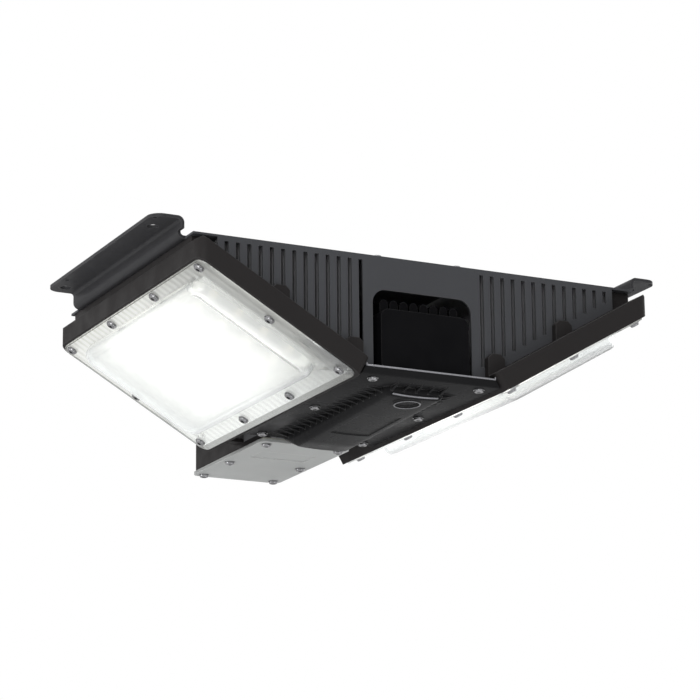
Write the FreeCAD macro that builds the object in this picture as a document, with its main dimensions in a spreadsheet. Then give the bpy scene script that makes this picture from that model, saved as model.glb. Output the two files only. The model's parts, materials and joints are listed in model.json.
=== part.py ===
"""LED tunnel light: two tilted, finned lamps either side of a driver spine, hung from two ceiling brackets.

Millimetres, +Z up, +X to the right seen from the front, +Y to the rear. The origin is the centre of the four
ceiling holes, on the brackets' top faces. Pieces are drawn from a datum at the height of the inner row of lens
screws and then dropped by hang_drop. A lamp is drawn flat in its own frame (x up the slope, z into the lamp) and
then tilted; the right lamp is drawn and the left one is its mirror image.
"""
import FreeCAD, Part
import os
import re

import Sketcher

SIZES = {
    # Where the lamps hang
    "tilt": 30,
    "row_half": 86,
    "hang_drop": 126,
    # Lens screws and other small fasteners
    "row_span": 153,
    "screw_pitch": 100,
    "head_wide": 9,
    "head_tall": 3,
    "nut_wide": 7.5,
    "nut_tall": 3.5,
    # Clear lens with a raised middle
    "lens_thick": 4,
    "lens_inner": 12.5,
    "lens_outer": 6.5,
    "lens_end": 12.5,
    "lens_corner": 9,
    "pillow_inner": 12,
    "pillow_outer": 6,
    "pillow_half": 132,
    "pillow_drop": 12,
    "pillow_corner": 15,
    "pillow_edge": 5,
    "lens_wall": 3,
    # Seal, reflector and LED board behind the lens
    "seal_thick": 1,
    "seal_inner": 6,
    "seal_edge": 2,
    "mouth_inset": 9,
    "throat_inset": 22,
    "mouth_end": 1,
    "throat_half": 106,
    "sheet_wall": 0.8,
    "throat_gap": 0.3,
    "board_thick": 1.6,
    "board_gap": 3,
    "chip_wide": 5,
    "chip_tall": 1,
    "chip_pitch": 28,
    # Lamp housing: tray, fins, ledge and lugs
    "fit_gap": 0.3,
    "overcut": 1,
    "rim_wide": 2.5,
    "rim_low": 1.5,
    "base_top": 20,
    "cavity_floor": 15,
    "cavity_inset": 8,
    "cavity_end": 9,
    "cavity_corner": 6,
    "housing_corner": 6,
    "wall_corner": 10,
    "brow": 5,
    "fin_first": 66.4,
    "fin_pitch": 10.8,
    "fin_thick": 2.4,
    "fin_top": 107.8,
    "fin_gap": 7,
    "fin_root": 1,
    "ledge_in": 203,
    "ledge_half": 138,
    "lug_outer": 142,
    "lug_outer_top": 70,
    "lug_inner": 71,
    "lug_inner_top": 31,
    "lug_wide": 17,
    "lug_deep": 7,
    "lug_bevel": 4,
    "lug_screw": 5.8,
    # Slotted end plates with a folded top rail
    "plate_face": 145,
    "plate_thick": 2,
    "plate_gap": 0.4,
    "plate_half": 199,
    "rail_low": 108.2,
    "rail_half": 222,
    "rail_deep": 18,
    "leg_half": 57,
    "window_half": 49.5,
    "window_top": 79.5,
    "window_round": 13,
    "slot_wide": 4,
    "slot_top": 105,
    "slot_rise": 10,
    # Plate that ties the end plates together over the driver housing
    "top_half": 64.4,
    "top_thick": 2,
    "top_screw_x": 40,
    # Ceiling brackets, each a folded strip
    "strip_thick": 3,
    "foot_in": 205,
    "web_out": 229,
    "flange_out": 256,
    "strip_front": 135,
    "strip_rear": 122,
    "notch_top": 11,
    "bend": 3,
    "strip_corner": 12,
    "hole_out": 243,
    "hole_half": 105,
    "hole_wide": 10.5,
    "pin_wide": 4,
    "pin_out": 8,
    "pin_fore": 24,
    "bolt_x": 213,
    "bolt_half": 95,
    "bolt_wide": 10,
    "bolt_tall": 4,
    # Driver housing on the spine
    "spine_half": 44,
    "spine_top": 61,
    "spine_front": 150,
    "spine_rear": 92,
    "spine_wall": 3,
    "spine_round": 8,
    "flange_half": 59.5,
    "flange_thick": 4,
    "flange_front": 158,
    "flute_pitch": 10,
    "flute_wide": 8,
    "flute_tall": 12,
    "flute_soft": 1.2,
    "flute_front": 138,
    "flute_rear": 88,
    "driver_half": 38,
    "driver_front": 110,
    "driver_rear": 70,
    "driver_tall": 38,
    # Cast cover under the driver housing
    "gasket_thick": 1,
    "gasket_wide": 9,
    "cover_floor": 2.5,
    "cover_gap": 0.5,
    "cover_rim": 2.5,
    "cover_lip": 6,
    "pan_low_half": 69,
    "pan_top_half": 64.8,
    "crown_half": 30,
    "crown_front": 131,
    "crown_tail": 60,
    "crown_rear": 88,
    "crown_nose": 8.9,
    "crown_drop": 15.8,
    "crown_end": 4.5,
    "crown_soft": 6,
    "crown_wall": 4,
    "rib_edge": 4.5,
    "rib_reach": 16,
    "rib_thick": 2,
    "rib_root": 1,
    "rib_pitch": 12,
    "rib_first": 122,
    "plaque_half": 20,
    "plaque_front": 65,
    "plaque_rear": 3,
    "plaque_deep": 1,
    "cover_screw_x": 53,
    "cover_screw_front": 150,
    "cover_screw_mid": 34,
    "cover_screw_rear": 80,
    # Junction box, its cover and its cable gland
    "box_half": 46,
    "box_rear": 258,
    "box_top": 46,
    "box_low": 4,
    "box_wall": 3,
    "box_round": 6,
    "ear_half": 6,
    "lid_over": 1.5,
    "lid_thick": 3,
    "lid_corner": 7,
    "lid_screw_x": 38,
    "lid_screw_front": 103,
    "lid_screw_mid": 188,
    "lid_screw_rear": 251,
    "post_wide": 8,
    "tab_front": 133,
    "tab_rear": 161,
    "tab_half": 29,
    "tab_deep": 0.8,
    "strip_half": 28,
    "strip_deep": 20,
    "strip_tall": 16,
    "strip_at": 160,
    "gland_at": 215,
    "gland_thread": 8,
    "thread_end": 2,
    "gland_bore": 4.5,
    "gland_hex": 24,
    "gland_seat": 6,
    "gland_grip": 9,
    "gland_dome": 5,
    "dome_wide": 18,
    "gland_nut": 22,
    "lock_tall": 4,
}
CHIP_COLUMNS = (-1.5, -0.5, 0.5, 1.5)
CHIP_ROWS = (-3.5, -2.5, -1.5, -0.5, 0.5, 1.5, 2.5, 3.5)
SCREW_ROWS = (-1.5, -0.5, 0.5, 1.5)
FIN_COUNT = 13
FLUTES = (-3.5, -2.5, -1.5, -0.5, 0.5, 1.5, 2.5, 3.5)
RIB_COUNT = 17
FRONT_RIBS = (-2, -1, 0, 1, 2)

doc = FreeCAD.newDocument("tunnel_light")
sheet = doc.addObject("Spreadsheet::Sheet", "Dims")
for row, (size_name, size_value) in enumerate(SIZES.items(), 1):
    sheet.set(f"A{row}", size_name)
    sheet.set(f"B{row}", str(size_value))
    sheet.setAlias(f"B{row}", size_name)
doc.recompute()

NODES = []


def formula(text):
    """The text as an expression, with each size's name pointing at its cell in the sheet."""
    return re.sub(r"[A-Za-z_]\w*", lambda m: f"Dims.{m[0]}" if m[0] in SIZES else m[0], str(text))


def amount(text):
    """What the expression comes to, in millimetres."""
    return float(sheet.evalExpression(formula(text)))


def bind(thing, **properties):
    """Binds properties of a document object to expressions of the sheet."""
    for name, text in properties.items():
        thing.setExpression(name.replace("__", "."), formula(text))


def hang(thing):
    """Drops a finished piece from the screw-row datum to its place under the ceiling."""
    bind(thing, Placement__Base__z="-hang_drop")


def hang_tilted(thing):
    """Tilts a piece of the right lamp about its inner screw row and hangs it there."""
    thing.Placement = FreeCAD.Placement(FreeCAD.Vector(), FreeCAD.Rotation(FreeCAD.Vector(0, -1, 0), amount("tilt")))
    bind(thing, Placement__Rotation__Angle="tilt", Placement__Base__x="row_half")
    hang(thing)


def keep(thing, label):
    """Names a finished piece and puts it among the nodes."""
    thing.Label = label
    NODES.append(thing)
    return thing


def mirrored(thing, label, normal):
    """The mirror image of a finished piece across the middle plane with that normal."""
    image = doc.addObject("Part::Mirroring", label)
    image.Source = thing
    image.Normal = normal
    return keep(image, label)


def keep_pair(thing, name):
    """Keeps a right-hand piece and its left-hand mirror image."""
    keep(thing, f"right_{name}")
    mirrored(thing, f"left_{name}", FreeCAD.Vector(1, 0, 0))


def rect(left, low, right, high):
    """Corner points of a rectangle, each coordinate an expression."""
    return [(left, low), (right, low), (right, high), (left, high)]


def centred(half_wide, low, high):
    """A rectangle centred on the sketch's upright axis."""
    return rect(f"-({half_wide})", low, half_wide, high)


def new_body(name):
    """An empty body of the document."""
    return doc.addObject("PartDesign::Body", name)


def origin_plane(body, role):
    """One of a body's own origin planes or axes, by its role."""
    return next(f for f in body.Origin.OriginFeatures if f.Role == role)


def draw(body, name, role, loops, at):
    """A sketch of closed straight-sided loops on an origin plane moved out by at, every corner held by the sheet."""
    sketch = body.newObject("Sketcher::SketchObject", name)
    sketch.AttachmentSupport = [(origin_plane(body, role), "")]
    sketch.MapMode = "FlatFace"
    bind(sketch, AttachmentOffset__Base__z=at)
    for loop in loops:
        first = sketch.GeometryCount
        count = len(loop)
        spots = [FreeCAD.Vector(amount(u), amount(v), 0) for u, v in loop]
        sides = [Part.LineSegment(spots[i], spots[(i + 1) % count]) for i in range(count)]
        sketch.addGeometry(sides, False)
        for i, corner in enumerate(loop):
            joint = Sketcher.Constraint("Coincident", first + i, 2, first + (i + 1) % count, 1)
            across = Sketcher.Constraint("DistanceX", -1, 1, first + i, 1, spots[i].x)
            up = Sketcher.Constraint("DistanceY", -1, 1, first + i, 1, spots[i].y)
            places = sketch.addConstraint([joint, across, up])
            sketch.setExpression(f"Constraints[{places[1]}]", formula(corner[0]))
            sketch.setExpression(f"Constraints[{places[2]}]", formula(corner[1]))
    return sketch


def swept(body, kind, name, role, loops, span):
    """A pad or pocket of loops over a span, low to high, along the plane's own axis."""
    low, high = span
    start = f"-({high})" if role == "XZ_Plane" else low
    sketch = draw(body, f"{name}_sketch", role, loops, start)
    feature = body.newObject(kind, name)
    feature.Profile = sketch
    bind(feature, Length=f"({high})-({low})")
    return feature


def add(body, name, role, loops, span):
    """Adds material: loops swept over a span."""
    feature = swept(body, "PartDesign::Pad", name, role, loops, span)
    doc.recompute()
    return feature


def cut(body, name, role, loops, span):
    """Removes material: loops swept over a span, with a check that something was removed."""
    before = body.Shape.Volume
    feature = swept(body, "PartDesign::Pocket", name, role, loops, span)
    feature.Reversed = True
    doc.recompute()
    if body.Shape.Volume > before - 1e-6:
        raise RuntimeError(f"{name} cuts nothing")
    return feature


def round_edges(body, name, radius, axis, chosen):
    """Fillets the straight edges along an axis whose middle points are chosen."""
    tip = body.Tip
    names = []
    for i, edge in enumerate(tip.Shape.Edges, 1):
        straight = edge.Curve.TypeId == "Part::GeomLine"
        if straight and abs(abs(edge.tangentAt(edge.FirstParameter).dot(axis)) - 1) < 1e-6 and chosen(edge.CenterOfMass):
            names.append(f"Edge{i}")
    fillet = body.newObject("PartDesign::Fillet", name)
    fillet.Base = (tip, names)
    bind(fillet, Radius=radius)
    doc.recompute()
    return fillet


def near(value, text):
    """Whether a coordinate lies where the expression says."""
    return abs(value - amount(text)) < 0.01


ALONG_X = FreeCAD.Vector(1, 0, 0)
ALONG_Y = FreeCAD.Vector(0, 1, 0)
ALONG_Z = FreeCAD.Vector(0, 0, 1)


def cylinder(name, radius, height, x, y, z):
    """An upright cylinder standing at a place."""
    rod = doc.addObject("Part::Cylinder", name)
    bind(rod, Radius=radius, Height=height, Placement__Base__x=x, Placement__Base__y=y, Placement__Base__z=z)
    return rod


def prism_head(name, sides, across_flats, height, x, y, z):
    """An upright prism standing at a place: six sides for a hexagon head, twelve for a near-round one."""
    prism = doc.addObject("Part::Prism", name)
    prism.Polygon = sides
    radius = f"({across_flats})/2/cos({180 / sides})"
    bind(prism, Circumradius=radius, Height=height, Placement__Base__x=x, Placement__Base__y=y, Placement__Base__z=z)
    return prism


def box(name, x, y, z, wide, deep, tall):
    """A block with its low corner at a place."""
    block = doc.addObject("Part::Box", name)
    bind(block, Length=wide, Width=deep, Height=tall)
    bind(block, Placement__Base__x=x, Placement__Base__y=y, Placement__Base__z=z)
    return block


def group(label, pieces):
    """One node made of separate like solids."""
    compound = doc.addObject("Part::Compound", label)
    compound.Links = pieces
    return compound


# Shared places, worked out from the sizes

ROW_END = "1.5*screw_pitch"
LENS_LOW = "-lens_inner"
LENS_HIGH = "row_span+lens_outer"
LENS_HALF = f"{ROW_END}+lens_end"
SEAT = "lens_thick+seal_thick"
RIM = "fit_gap+rim_wide"
TRAY_LOW = f"-(lens_inner+{RIM})"
TRAY_HIGH = f"(row_span+lens_outer+{RIM})"
TRAY_HALF = f"({LENS_HALF}+{RIM})"
CAVITY_HALF = f"({ROW_END}-cavity_end)"
FIN_HALF = "(plate_face-plate_thick-fin_gap)"
WALL_X = f"(row_half+{TRAY_HIGH}*cos(tilt)-rim_low*sin(tilt))"


def tilted(x, z):
    """An upright place (x out, z up from the datum) as a point of the lamp's tilted section."""
    return f"(({x})-row_half)*cos(tilt)+({z})*sin(tilt)", f"({z})*cos(tilt)-(({x})-row_half)*sin(tilt)"


def back_height(x):
    """Height of the tray's sloping back at x."""
    return f"(base_top/cos(tilt)+(({x})-row_half)*tan(tilt))"


def make_lamp_housing():
    """Cast tray with upright fins on its back, a ledge for the bracket and lugs for the end plates."""
    body = new_body("lamp_housing")
    section = [
        (TRAY_LOW, "rim_low"),
        (TRAY_HIGH, "rim_low"),
        tilted(WALL_X, f"{back_height(WALL_X)}-brow"),
        tilted(f"{WALL_X}-brow", back_height(f"{WALL_X}-brow")),
        (TRAY_LOW, "base_top"),
    ]
    add(body, "tray", "XZ_Plane", [section], (f"-{TRAY_HALF}", TRAY_HALF))
    round_edges(body, "tray_corners", "housing_corner", ALONG_Z, lambda p: near(abs(p.y), TRAY_HALF))
    recess = rect(f"{LENS_LOW}-fit_gap", f"-({LENS_HALF}+fit_gap)", f"{LENS_HIGH}+fit_gap", f"{LENS_HALF}+fit_gap")
    cut(body, "lens_recess", "XY_Plane", [recess], ("rim_low", SEAT))
    round_edges(body, "recess_corners", "lens_corner+fit_gap", ALONG_Z, lambda p: near(abs(p.y), f"{LENS_HALF}+fit_gap"))
    tilt_turn = FreeCAD.Rotation(ALONG_Y, amount("tilt"))
    round_edges(body, "wall_corners", "wall_corner", tilt_turn.multVec(ALONG_Z), lambda p: near(abs(p.y), TRAY_HALF))
    cavity = rect("cavity_inset", f"-{CAVITY_HALF}", "row_span-cavity_inset", CAVITY_HALF)
    cut(body, "led_cavity", "XY_Plane", [cavity], (SEAT, "cavity_floor"))
    round_edges(body, "cavity_corners", "cavity_corner", ALONG_Z, lambda p: near(abs(p.y), CAVITY_HALF))
    fins = []
    for i in range(FIN_COUNT):
        left = f"fin_first+{i}*fin_pitch-fin_thick/2"
        right = f"fin_first+{i}*fin_pitch+fin_thick/2"
        fins.append([
            tilted(left, f"{back_height(left)}-fin_root"),
            tilted(right, f"{back_height(right)}-fin_root"),
            tilted(right, "fin_top"),
            tilted(left, "fin_top"),
        ])
    add(body, "fins", "XZ_Plane", fins, (f"-{FIN_HALF}", FIN_HALF))
    ledge = [
        tilted("ledge_in", f"{back_height('ledge_in')}-fin_root"),
        tilted(f"{WALL_X}-brow", f"{back_height(f'{WALL_X}-brow')}-fin_root"),
        tilted(f"{WALL_X}-brow", "rail_low"),
        tilted("ledge_in", "rail_low"),
    ]
    add(body, "ledge", "XZ_Plane", [ledge], ("-ledge_half", "ledge_half"))
    lugs = []
    for middle, top in (("lug_outer", "lug_outer_top"), ("lug_inner", "lug_inner_top")):
        left, right = f"{middle}-lug_wide/2", f"{middle}+lug_wide/2"
        lugs.append([
            tilted(left, f"{back_height(left)}-fin_root"),
            tilted(right, f"{back_height(right)}-fin_root"),
            tilted(right, f"{top}-lug_bevel"),
            tilted(f"{right}-lug_bevel", top),
            tilted(f"{left}+lug_bevel", top),
            tilted(left, f"{top}-lug_bevel"),
        ])
    add(body, "front_lugs", "XZ_Plane", lugs, ("-plate_face-lug_deep", "-plate_face"))
    add(body, "rear_lugs", "XZ_Plane", lugs, ("plate_face", "plate_face+lug_deep"))
    hang_tilted(body)
    keep_pair(body, "lamp_housing")


def make_lens():
    """Clear moulded lens: a flat screw flange around a hollow raised middle."""
    body = new_body("lens")
    flange = rect(LENS_LOW, f"-({LENS_HALF})", LENS_HIGH, LENS_HALF)
    add(body, "flange", "XY_Plane", [flange], ("0", "lens_thick"))
    round_edges(body, "flange_corners", "lens_corner", ALONG_Z, lambda p: True)
    pillow = rect("pillow_inner", "-pillow_half", "row_span-pillow_outer", "pillow_half")
    add(body, "pillow", "XY_Plane", [pillow], ("-pillow_drop", "0"))
    hollow = rect(
        "pillow_inner+lens_wall",
        "-(pillow_half-lens_wall)",
        "row_span-pillow_outer-lens_wall",
        "pillow_half-lens_wall",
    )
    cut(body, "hollow", "XY_Plane", [hollow], ("lens_wall-pillow_drop", "lens_thick"))
    round_edges(
        body,
        "hollow_corners",
        "pillow_corner-lens_wall",
        ALONG_Z,
        lambda p: near(abs(p.y), "pillow_half-lens_wall"),
    )
    round_edges(body, "pillow_corners", "pillow_corner", ALONG_Z, lambda p: near(abs(p.y), "pillow_half"))
    rounded = body.Tip
    low_face = next(f"Face{i}" for i, f in enumerate(rounded.Shape.Faces, 1) if near(f.CenterOfMass.z, "-pillow_drop"))
    bevel = body.newObject("PartDesign::Chamfer", "pillow_bevel")
    bevel.Base = (rounded, [low_face])
    bind(bevel, Size="pillow_edge")
    doc.recompute()
    hang_tilted(body)
    keep_pair(body, "lens")


def make_lens_gasket():
    """Flat seal around the edge of the lens, wider along the inner side."""
    body = new_body("lens_gasket")
    outer = rect(LENS_LOW, f"-({LENS_HALF})", LENS_HIGH, LENS_HALF)
    inner = rect(
        f"{LENS_LOW}+seal_inner",
        f"-({LENS_HALF}-seal_edge)",
        f"{LENS_HIGH}-seal_edge",
        f"{LENS_HALF}-seal_edge",
    )
    add(body, "sheet", "XY_Plane", [outer], ("lens_thick", SEAT))
    cut(body, "opening", "XY_Plane", [inner], ("lens_thick", SEAT))
    inner_corner = "lens_corner-seal_edge"
    round_edges(body, "opening_corners", inner_corner, ALONG_Z, lambda p: not near(abs(p.y), LENS_HALF))
    round_edges(body, "sheet_corners", "lens_corner", ALONG_Z, lambda p: near(abs(p.y), LENS_HALF))
    hang_tilted(body)
    keep_pair(body, "lens_gasket")


def make_reflector():
    """Pressed bright tray: a flat flange under the lens with four sides sloping in to the LED board."""
    body = new_body("reflector")
    flange = rect(
        f"{LENS_LOW}+seal_inner+fit_gap",
        f"-({LENS_HALF}-seal_edge-fit_gap)",
        f"{LENS_HIGH}-seal_edge-fit_gap",
        f"{LENS_HALF}-seal_edge-fit_gap",
    )
    add(body, "flange", "XY_Plane", [flange], ("lens_thick", SEAT))
    round_edges(body, "flange_corners", "lens_corner-seal_edge-fit_gap", ALONG_Z, lambda p: True)
    throat = "cavity_floor-board_thick-throat_gap"

    def funnel(kind, name, inset):
        mouth = rect(
            f"mouth_inset+{inset}",
            f"-({CAVITY_HALF}-mouth_end-{inset})",
            f"row_span-mouth_inset-{inset}",
            f"{CAVITY_HALF}-mouth_end-{inset}",
        )
        foot = rect(
            f"throat_inset+{inset}",
            f"-(throat_half-{inset})",
            f"row_span-throat_inset-{inset}",
            f"throat_half-{inset}",
        )
        loft = body.newObject(kind, name)
        loft.Profile = draw(body, f"{name}_mouth", "XY_Plane", [mouth], "lens_thick")
        loft.Sections = [draw(body, f"{name}_foot", "XY_Plane", [foot], throat)]
        loft.Ruled = True
        doc.recompute()

    funnel("PartDesign::AdditiveLoft", "funnel", "0")
    before = body.Shape.Volume
    funnel("PartDesign::SubtractiveLoft", "funnel_inside", "sheet_wall")
    if body.Shape.Volume >= before:
        raise RuntimeError("the reflector is not open")
    hang_tilted(body)
    keep_pair(body, "reflector")


def make_led_board():
    """Aluminium-backed circuit board on the tray's floor, and its rows of LED packages."""
    board = box(
        "led_board",
        "cavity_inset+board_gap",
        f"-({CAVITY_HALF}-board_gap)",
        "cavity_floor-board_thick",
        "row_span-2*cavity_inset-2*board_gap",
        f"2*({CAVITY_HALF}-board_gap)",
        "board_thick",
    )
    hang_on_slope(board, "led_board")
    chips = []
    for column in CHIP_COLUMNS:
        for row_place in CHIP_ROWS:
            chips.append(box(
                "led_chip",
                f"row_span/2+({column})*chip_pitch-chip_wide/2",
                f"({row_place})*chip_pitch-chip_wide/2",
                "cavity_floor-board_thick-chip_tall",
                "chip_wide",
                "chip_wide",
                "chip_tall",
            ))
    hang_on_slope(group("led_chips", chips), "led_chips")


def hang_on_slope(thing, name):
    """Tilts and hangs a right-hand piece made of primitives, and keeps it with its mirror image."""
    holder = thing if thing.TypeId == "Part::Compound" else group(name, [thing])
    hang_tilted(holder)
    keep_pair(holder, name)


def make_lens_screws():
    """Heads of the screws around the lens: a row along each long side and one in the middle of each end."""
    heads = []

    def head(x, y):
        heads.append(prism_head("lens_screw", 12, "head_wide", "head_tall", x, y, "-head_tall"))

    for row_place in SCREW_ROWS:
        head("0", f"({row_place})*screw_pitch")
        head("row_span", f"({row_place})*screw_pitch")
    head("row_span/2", f"-({ROW_END})")
    head("row_span/2", ROW_END)
    hang_on_slope(group("lens_screws", heads), "lens_screws")


def make_end_plates():
    """Slotted sheet-metal end plates with a folded top rail that rests on the housings' ledges."""
    body = new_body("front_end_plate")
    top = "rail_low+plate_thick"
    corner_low = f"{back_height('plate_half')}+plate_gap"
    leg_low = f"{back_height('leg_half')}+plate_gap"
    right_side = [
        ("window_half", "window_top"),
        ("window_half", "flange_thick"),
        ("leg_half", "flange_thick"),
        ("leg_half", leg_low),
        ("plate_half", corner_low),
        ("plate_half", top),
    ]
    left_side = [(f"-({x})", z) for x, z in reversed(right_side)]
    slots = []
    for i in range(FIN_COUNT):
        middle = f"fin_first+{i}*fin_pitch-fin_pitch/2"
        low = f"{back_height(middle)}+plate_gap+slot_rise"
        slots.append(rect(f"{middle}-slot_wide/2", low, f"{middle}+slot_wide/2", "slot_top"))
        slots.append(rect(f"-({middle})-slot_wide/2", low, f"-({middle})+slot_wide/2", "slot_top"))
    span = ("-plate_face", "plate_thick-plate_face")
    add(body, "sheet", "XZ_Plane", [right_side + left_side], span)
    round_edges(body, "window_corners", "window_round", ALONG_Y, lambda p: near(p.z, "window_top"))
    cut(body, "slots", "XZ_Plane", slots, span)
    rail = centred("rail_half", "-plate_face", "rail_deep-plate_face")
    add(body, "rail", "XY_Plane", [rail], ("rail_low", top))
    hang(body)
    keep(body, "front_end_plate")
    mirrored(body, "rear_end_plate", FreeCAD.Vector(0, 1, 0))


def make_top_plate():
    """Flat plate under the end plates' rails, which ties them together over the driver housing."""
    body = new_body("top_plate")
    reach = "plate_face-plate_thick-plate_gap"
    sheet = centred("top_half", f"-({reach})", reach)
    add(body, "sheet", "XY_Plane", [sheet], ("rail_low-top_thick", "rail_low"))
    hang(body)
    keep(body, "top_plate")


def make_top_plate_screws():
    """Heads of the screws through the rails into the top plate."""
    low = "rail_low+plate_thick"
    heads = []
    for side in ("-", "+"):
        for end in ("-", "+"):
            place = f"{end}(plate_face-rail_deep/2)"
            heads.append(prism_head("top_screw", 12, "head_wide", "head_tall", f"{side}top_screw_x", place, low))
    screws = group("top_plate_screws", heads)
    hang(screws)
    keep(screws, "top_plate_screws")


def make_end_plate_screws():
    """Hexagon heads behind the end plates, on the screws that go into the housings' lugs."""
    heads = []
    for side in ("-", "+"):
        for lug in ("lug_outer", "lug_inner"):
            for end in (-1, 1):
                low = "plate_thick-plate_face" if end < 0 else "plate_face-plate_thick-nut_tall"
                height = f"{back_height(lug)}+lug_screw"
                head = prism_head("plate_screw", 6, "nut_wide", "nut_tall", f"{side}({lug})", low, height)
                head.Placement.Rotation = FreeCAD.Rotation(ALONG_X, -90)
                heads.append(head)
    screws = group("end_plate_screws", heads)
    hang(screws)
    keep(screws, "end_plate_screws")


def make_bracket():
    """Folded ceiling bracket: a foot on the housing's ledge, an upright web and a drilled top flange."""
    body = new_body("mounting_bracket")
    strip = [
        ("foot_in", "rail_low"),
        ("web_out", "rail_low"),
        ("web_out", "hang_drop-strip_thick"),
        ("flange_out", "hang_drop-strip_thick"),
        ("flange_out", "hang_drop"),
        ("web_out-strip_thick", "hang_drop"),
        ("web_out-strip_thick", "rail_low+strip_thick"),
        ("foot_in", "rail_low+strip_thick"),
    ]
    add(body, "strip", "XZ_Plane", [strip], ("-strip_front", "strip_rear"))
    web_in = "web_out-strip_thick"
    round_edges(
        body,
        "inner_bends",
        "bend",
        ALONG_Y,
        lambda p: (near(p.x, "web_out") and near(p.z, "hang_drop-strip_thick"))
        or (near(p.x, web_in) and near(p.z, "rail_low+strip_thick")),
    )
    round_edges(
        body,
        "outer_bends",
        "bend+strip_thick",
        ALONG_Y,
        lambda p: (near(p.x, "web_out") and near(p.z, "rail_low")) or (near(p.x, web_in) and near(p.z, "hang_drop")),
    )
    round_edges(body, "flange_corners", "strip_corner", ALONG_Z, lambda p: near(p.x, "flange_out"))
    notch = rect("foot_in-overcut", "-strip_front-overcut", "web_out+bend", "rail_deep+fit_gap-plate_face")
    cut(body, "rail_notch", "XY_Plane", [notch], ("rail_low-overcut", "hang_drop-notch_top"))
    drill(body, [("hole_out", "-hole_half"), ("hole_out", "hole_half")], "hole_wide")
    pins = [("hole_out+pin_out", "-hole_half-pin_fore"), ("hole_out+pin_out", "hole_half-pin_fore")]
    drill(body, pins, "pin_wide")
    hang(body)
    keep_pair(body, "mounting_bracket")


def drill(body, places, wide):
    """Drills round holes down through a bracket's top flange."""
    sketch = body.newObject("Sketcher::SketchObject", "drill_marks")
    sketch.AttachmentSupport = [(origin_plane(body, "XY_Plane"), "")]
    sketch.MapMode = "FlatFace"
    bind(sketch, AttachmentOffset__Base__z="hang_drop")
    for x, y in places:
        spot = FreeCAD.Vector(amount(x), amount(y), 0)
        circle = sketch.addGeometry(Part.Circle(spot, ALONG_Z, amount(wide) / 2), False)
        across = Sketcher.Constraint("DistanceX", -1, 1, circle, 3, spot.x)
        along = Sketcher.Constraint("DistanceY", -1, 1, circle, 3, spot.y)
        size = Sketcher.Constraint("Diameter", circle, amount(wide))
        marks = sketch.addConstraint([across, along, size])
        for mark, text in zip(marks, (x, y, wide)):
            sketch.setExpression(f"Constraints[{mark}]", formula(text))
    before = body.Shape.Volume
    holes = body.newObject("PartDesign::Pocket", "drilled")
    holes.Profile = sketch
    bind(holes, Length="strip_thick")
    doc.recompute()
    if body.Shape.Volume >= before:
        raise RuntimeError("the bracket's holes cut nothing")


def make_bracket_bolts():
    """Hexagon heads of the bolts that hold each bracket's foot to its housing."""
    heads = []
    for side in ("-", "+"):
        place = f"{side}bolt_half"
        heads.append(prism_head("bracket_bolt", 6, "bolt_wide", "bolt_tall", "bolt_x", place, "rail_low+strip_thick"))
    bolts = group("bracket_bolts", heads)
    hang(bolts)
    keep_pair(bolts, "bracket_bolts")


def make_driver_housing():
    """Cast hat-section housing with a fluted roof, open underneath, with a screw flange round its foot."""
    body = new_body("driver_housing")
    outer = centred("spine_half", "-spine_front", "spine_rear")
    add(body, "hat", "XY_Plane", [outer], ("0", "spine_top"))
    round_edges(body, "roof_edges", "spine_round", ALONG_Y, lambda p: near(p.z, "spine_top"))
    brim = centred("flange_half", "-flange_front", "spine_rear")
    add(body, "brim", "XY_Plane", [brim], ("0", "flange_thick"))
    inside = centred("spine_half-spine_wall", "spine_wall-spine_front", "spine_rear-spine_wall")
    cut(body, "inside", "XY_Plane", [inside], ("0", "spine_top-spine_wall"))
    flutes = []
    for place in FLUTES:
        left = f"({place})*flute_pitch-flute_wide/2"
        right = f"({place})*flute_pitch+flute_wide/2"
        flutes.append([
            (left, "spine_top-spine_wall/2"),
            (right, "spine_top-spine_wall/2"),
            (right, "spine_top+flute_tall-flute_wide/2"),
            (f"{right}-flute_soft", "spine_top+flute_tall-flute_soft"),
            (f"{right}-flute_wide/2", "spine_top+flute_tall"),
            (f"{left}+flute_soft", "spine_top+flute_tall-flute_soft"),
            (left, "spine_top+flute_tall-flute_wide/2"),
        ])
    add(body, "flutes", "XZ_Plane", flutes, ("-flute_front", "flute_rear"))
    hang(body)
    keep(body, "driver_housing")


def make_led_driver():
    """Potted power supply hung from the roof of the driver housing."""
    supply = box(
        "led_driver",
        "-driver_half",
        "-driver_front",
        "spine_top-spine_wall-driver_tall-hang_drop",
        "2*driver_half",
        "driver_front+driver_rear",
        "driver_tall",
    )
    keep(supply, "led_driver")


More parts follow.
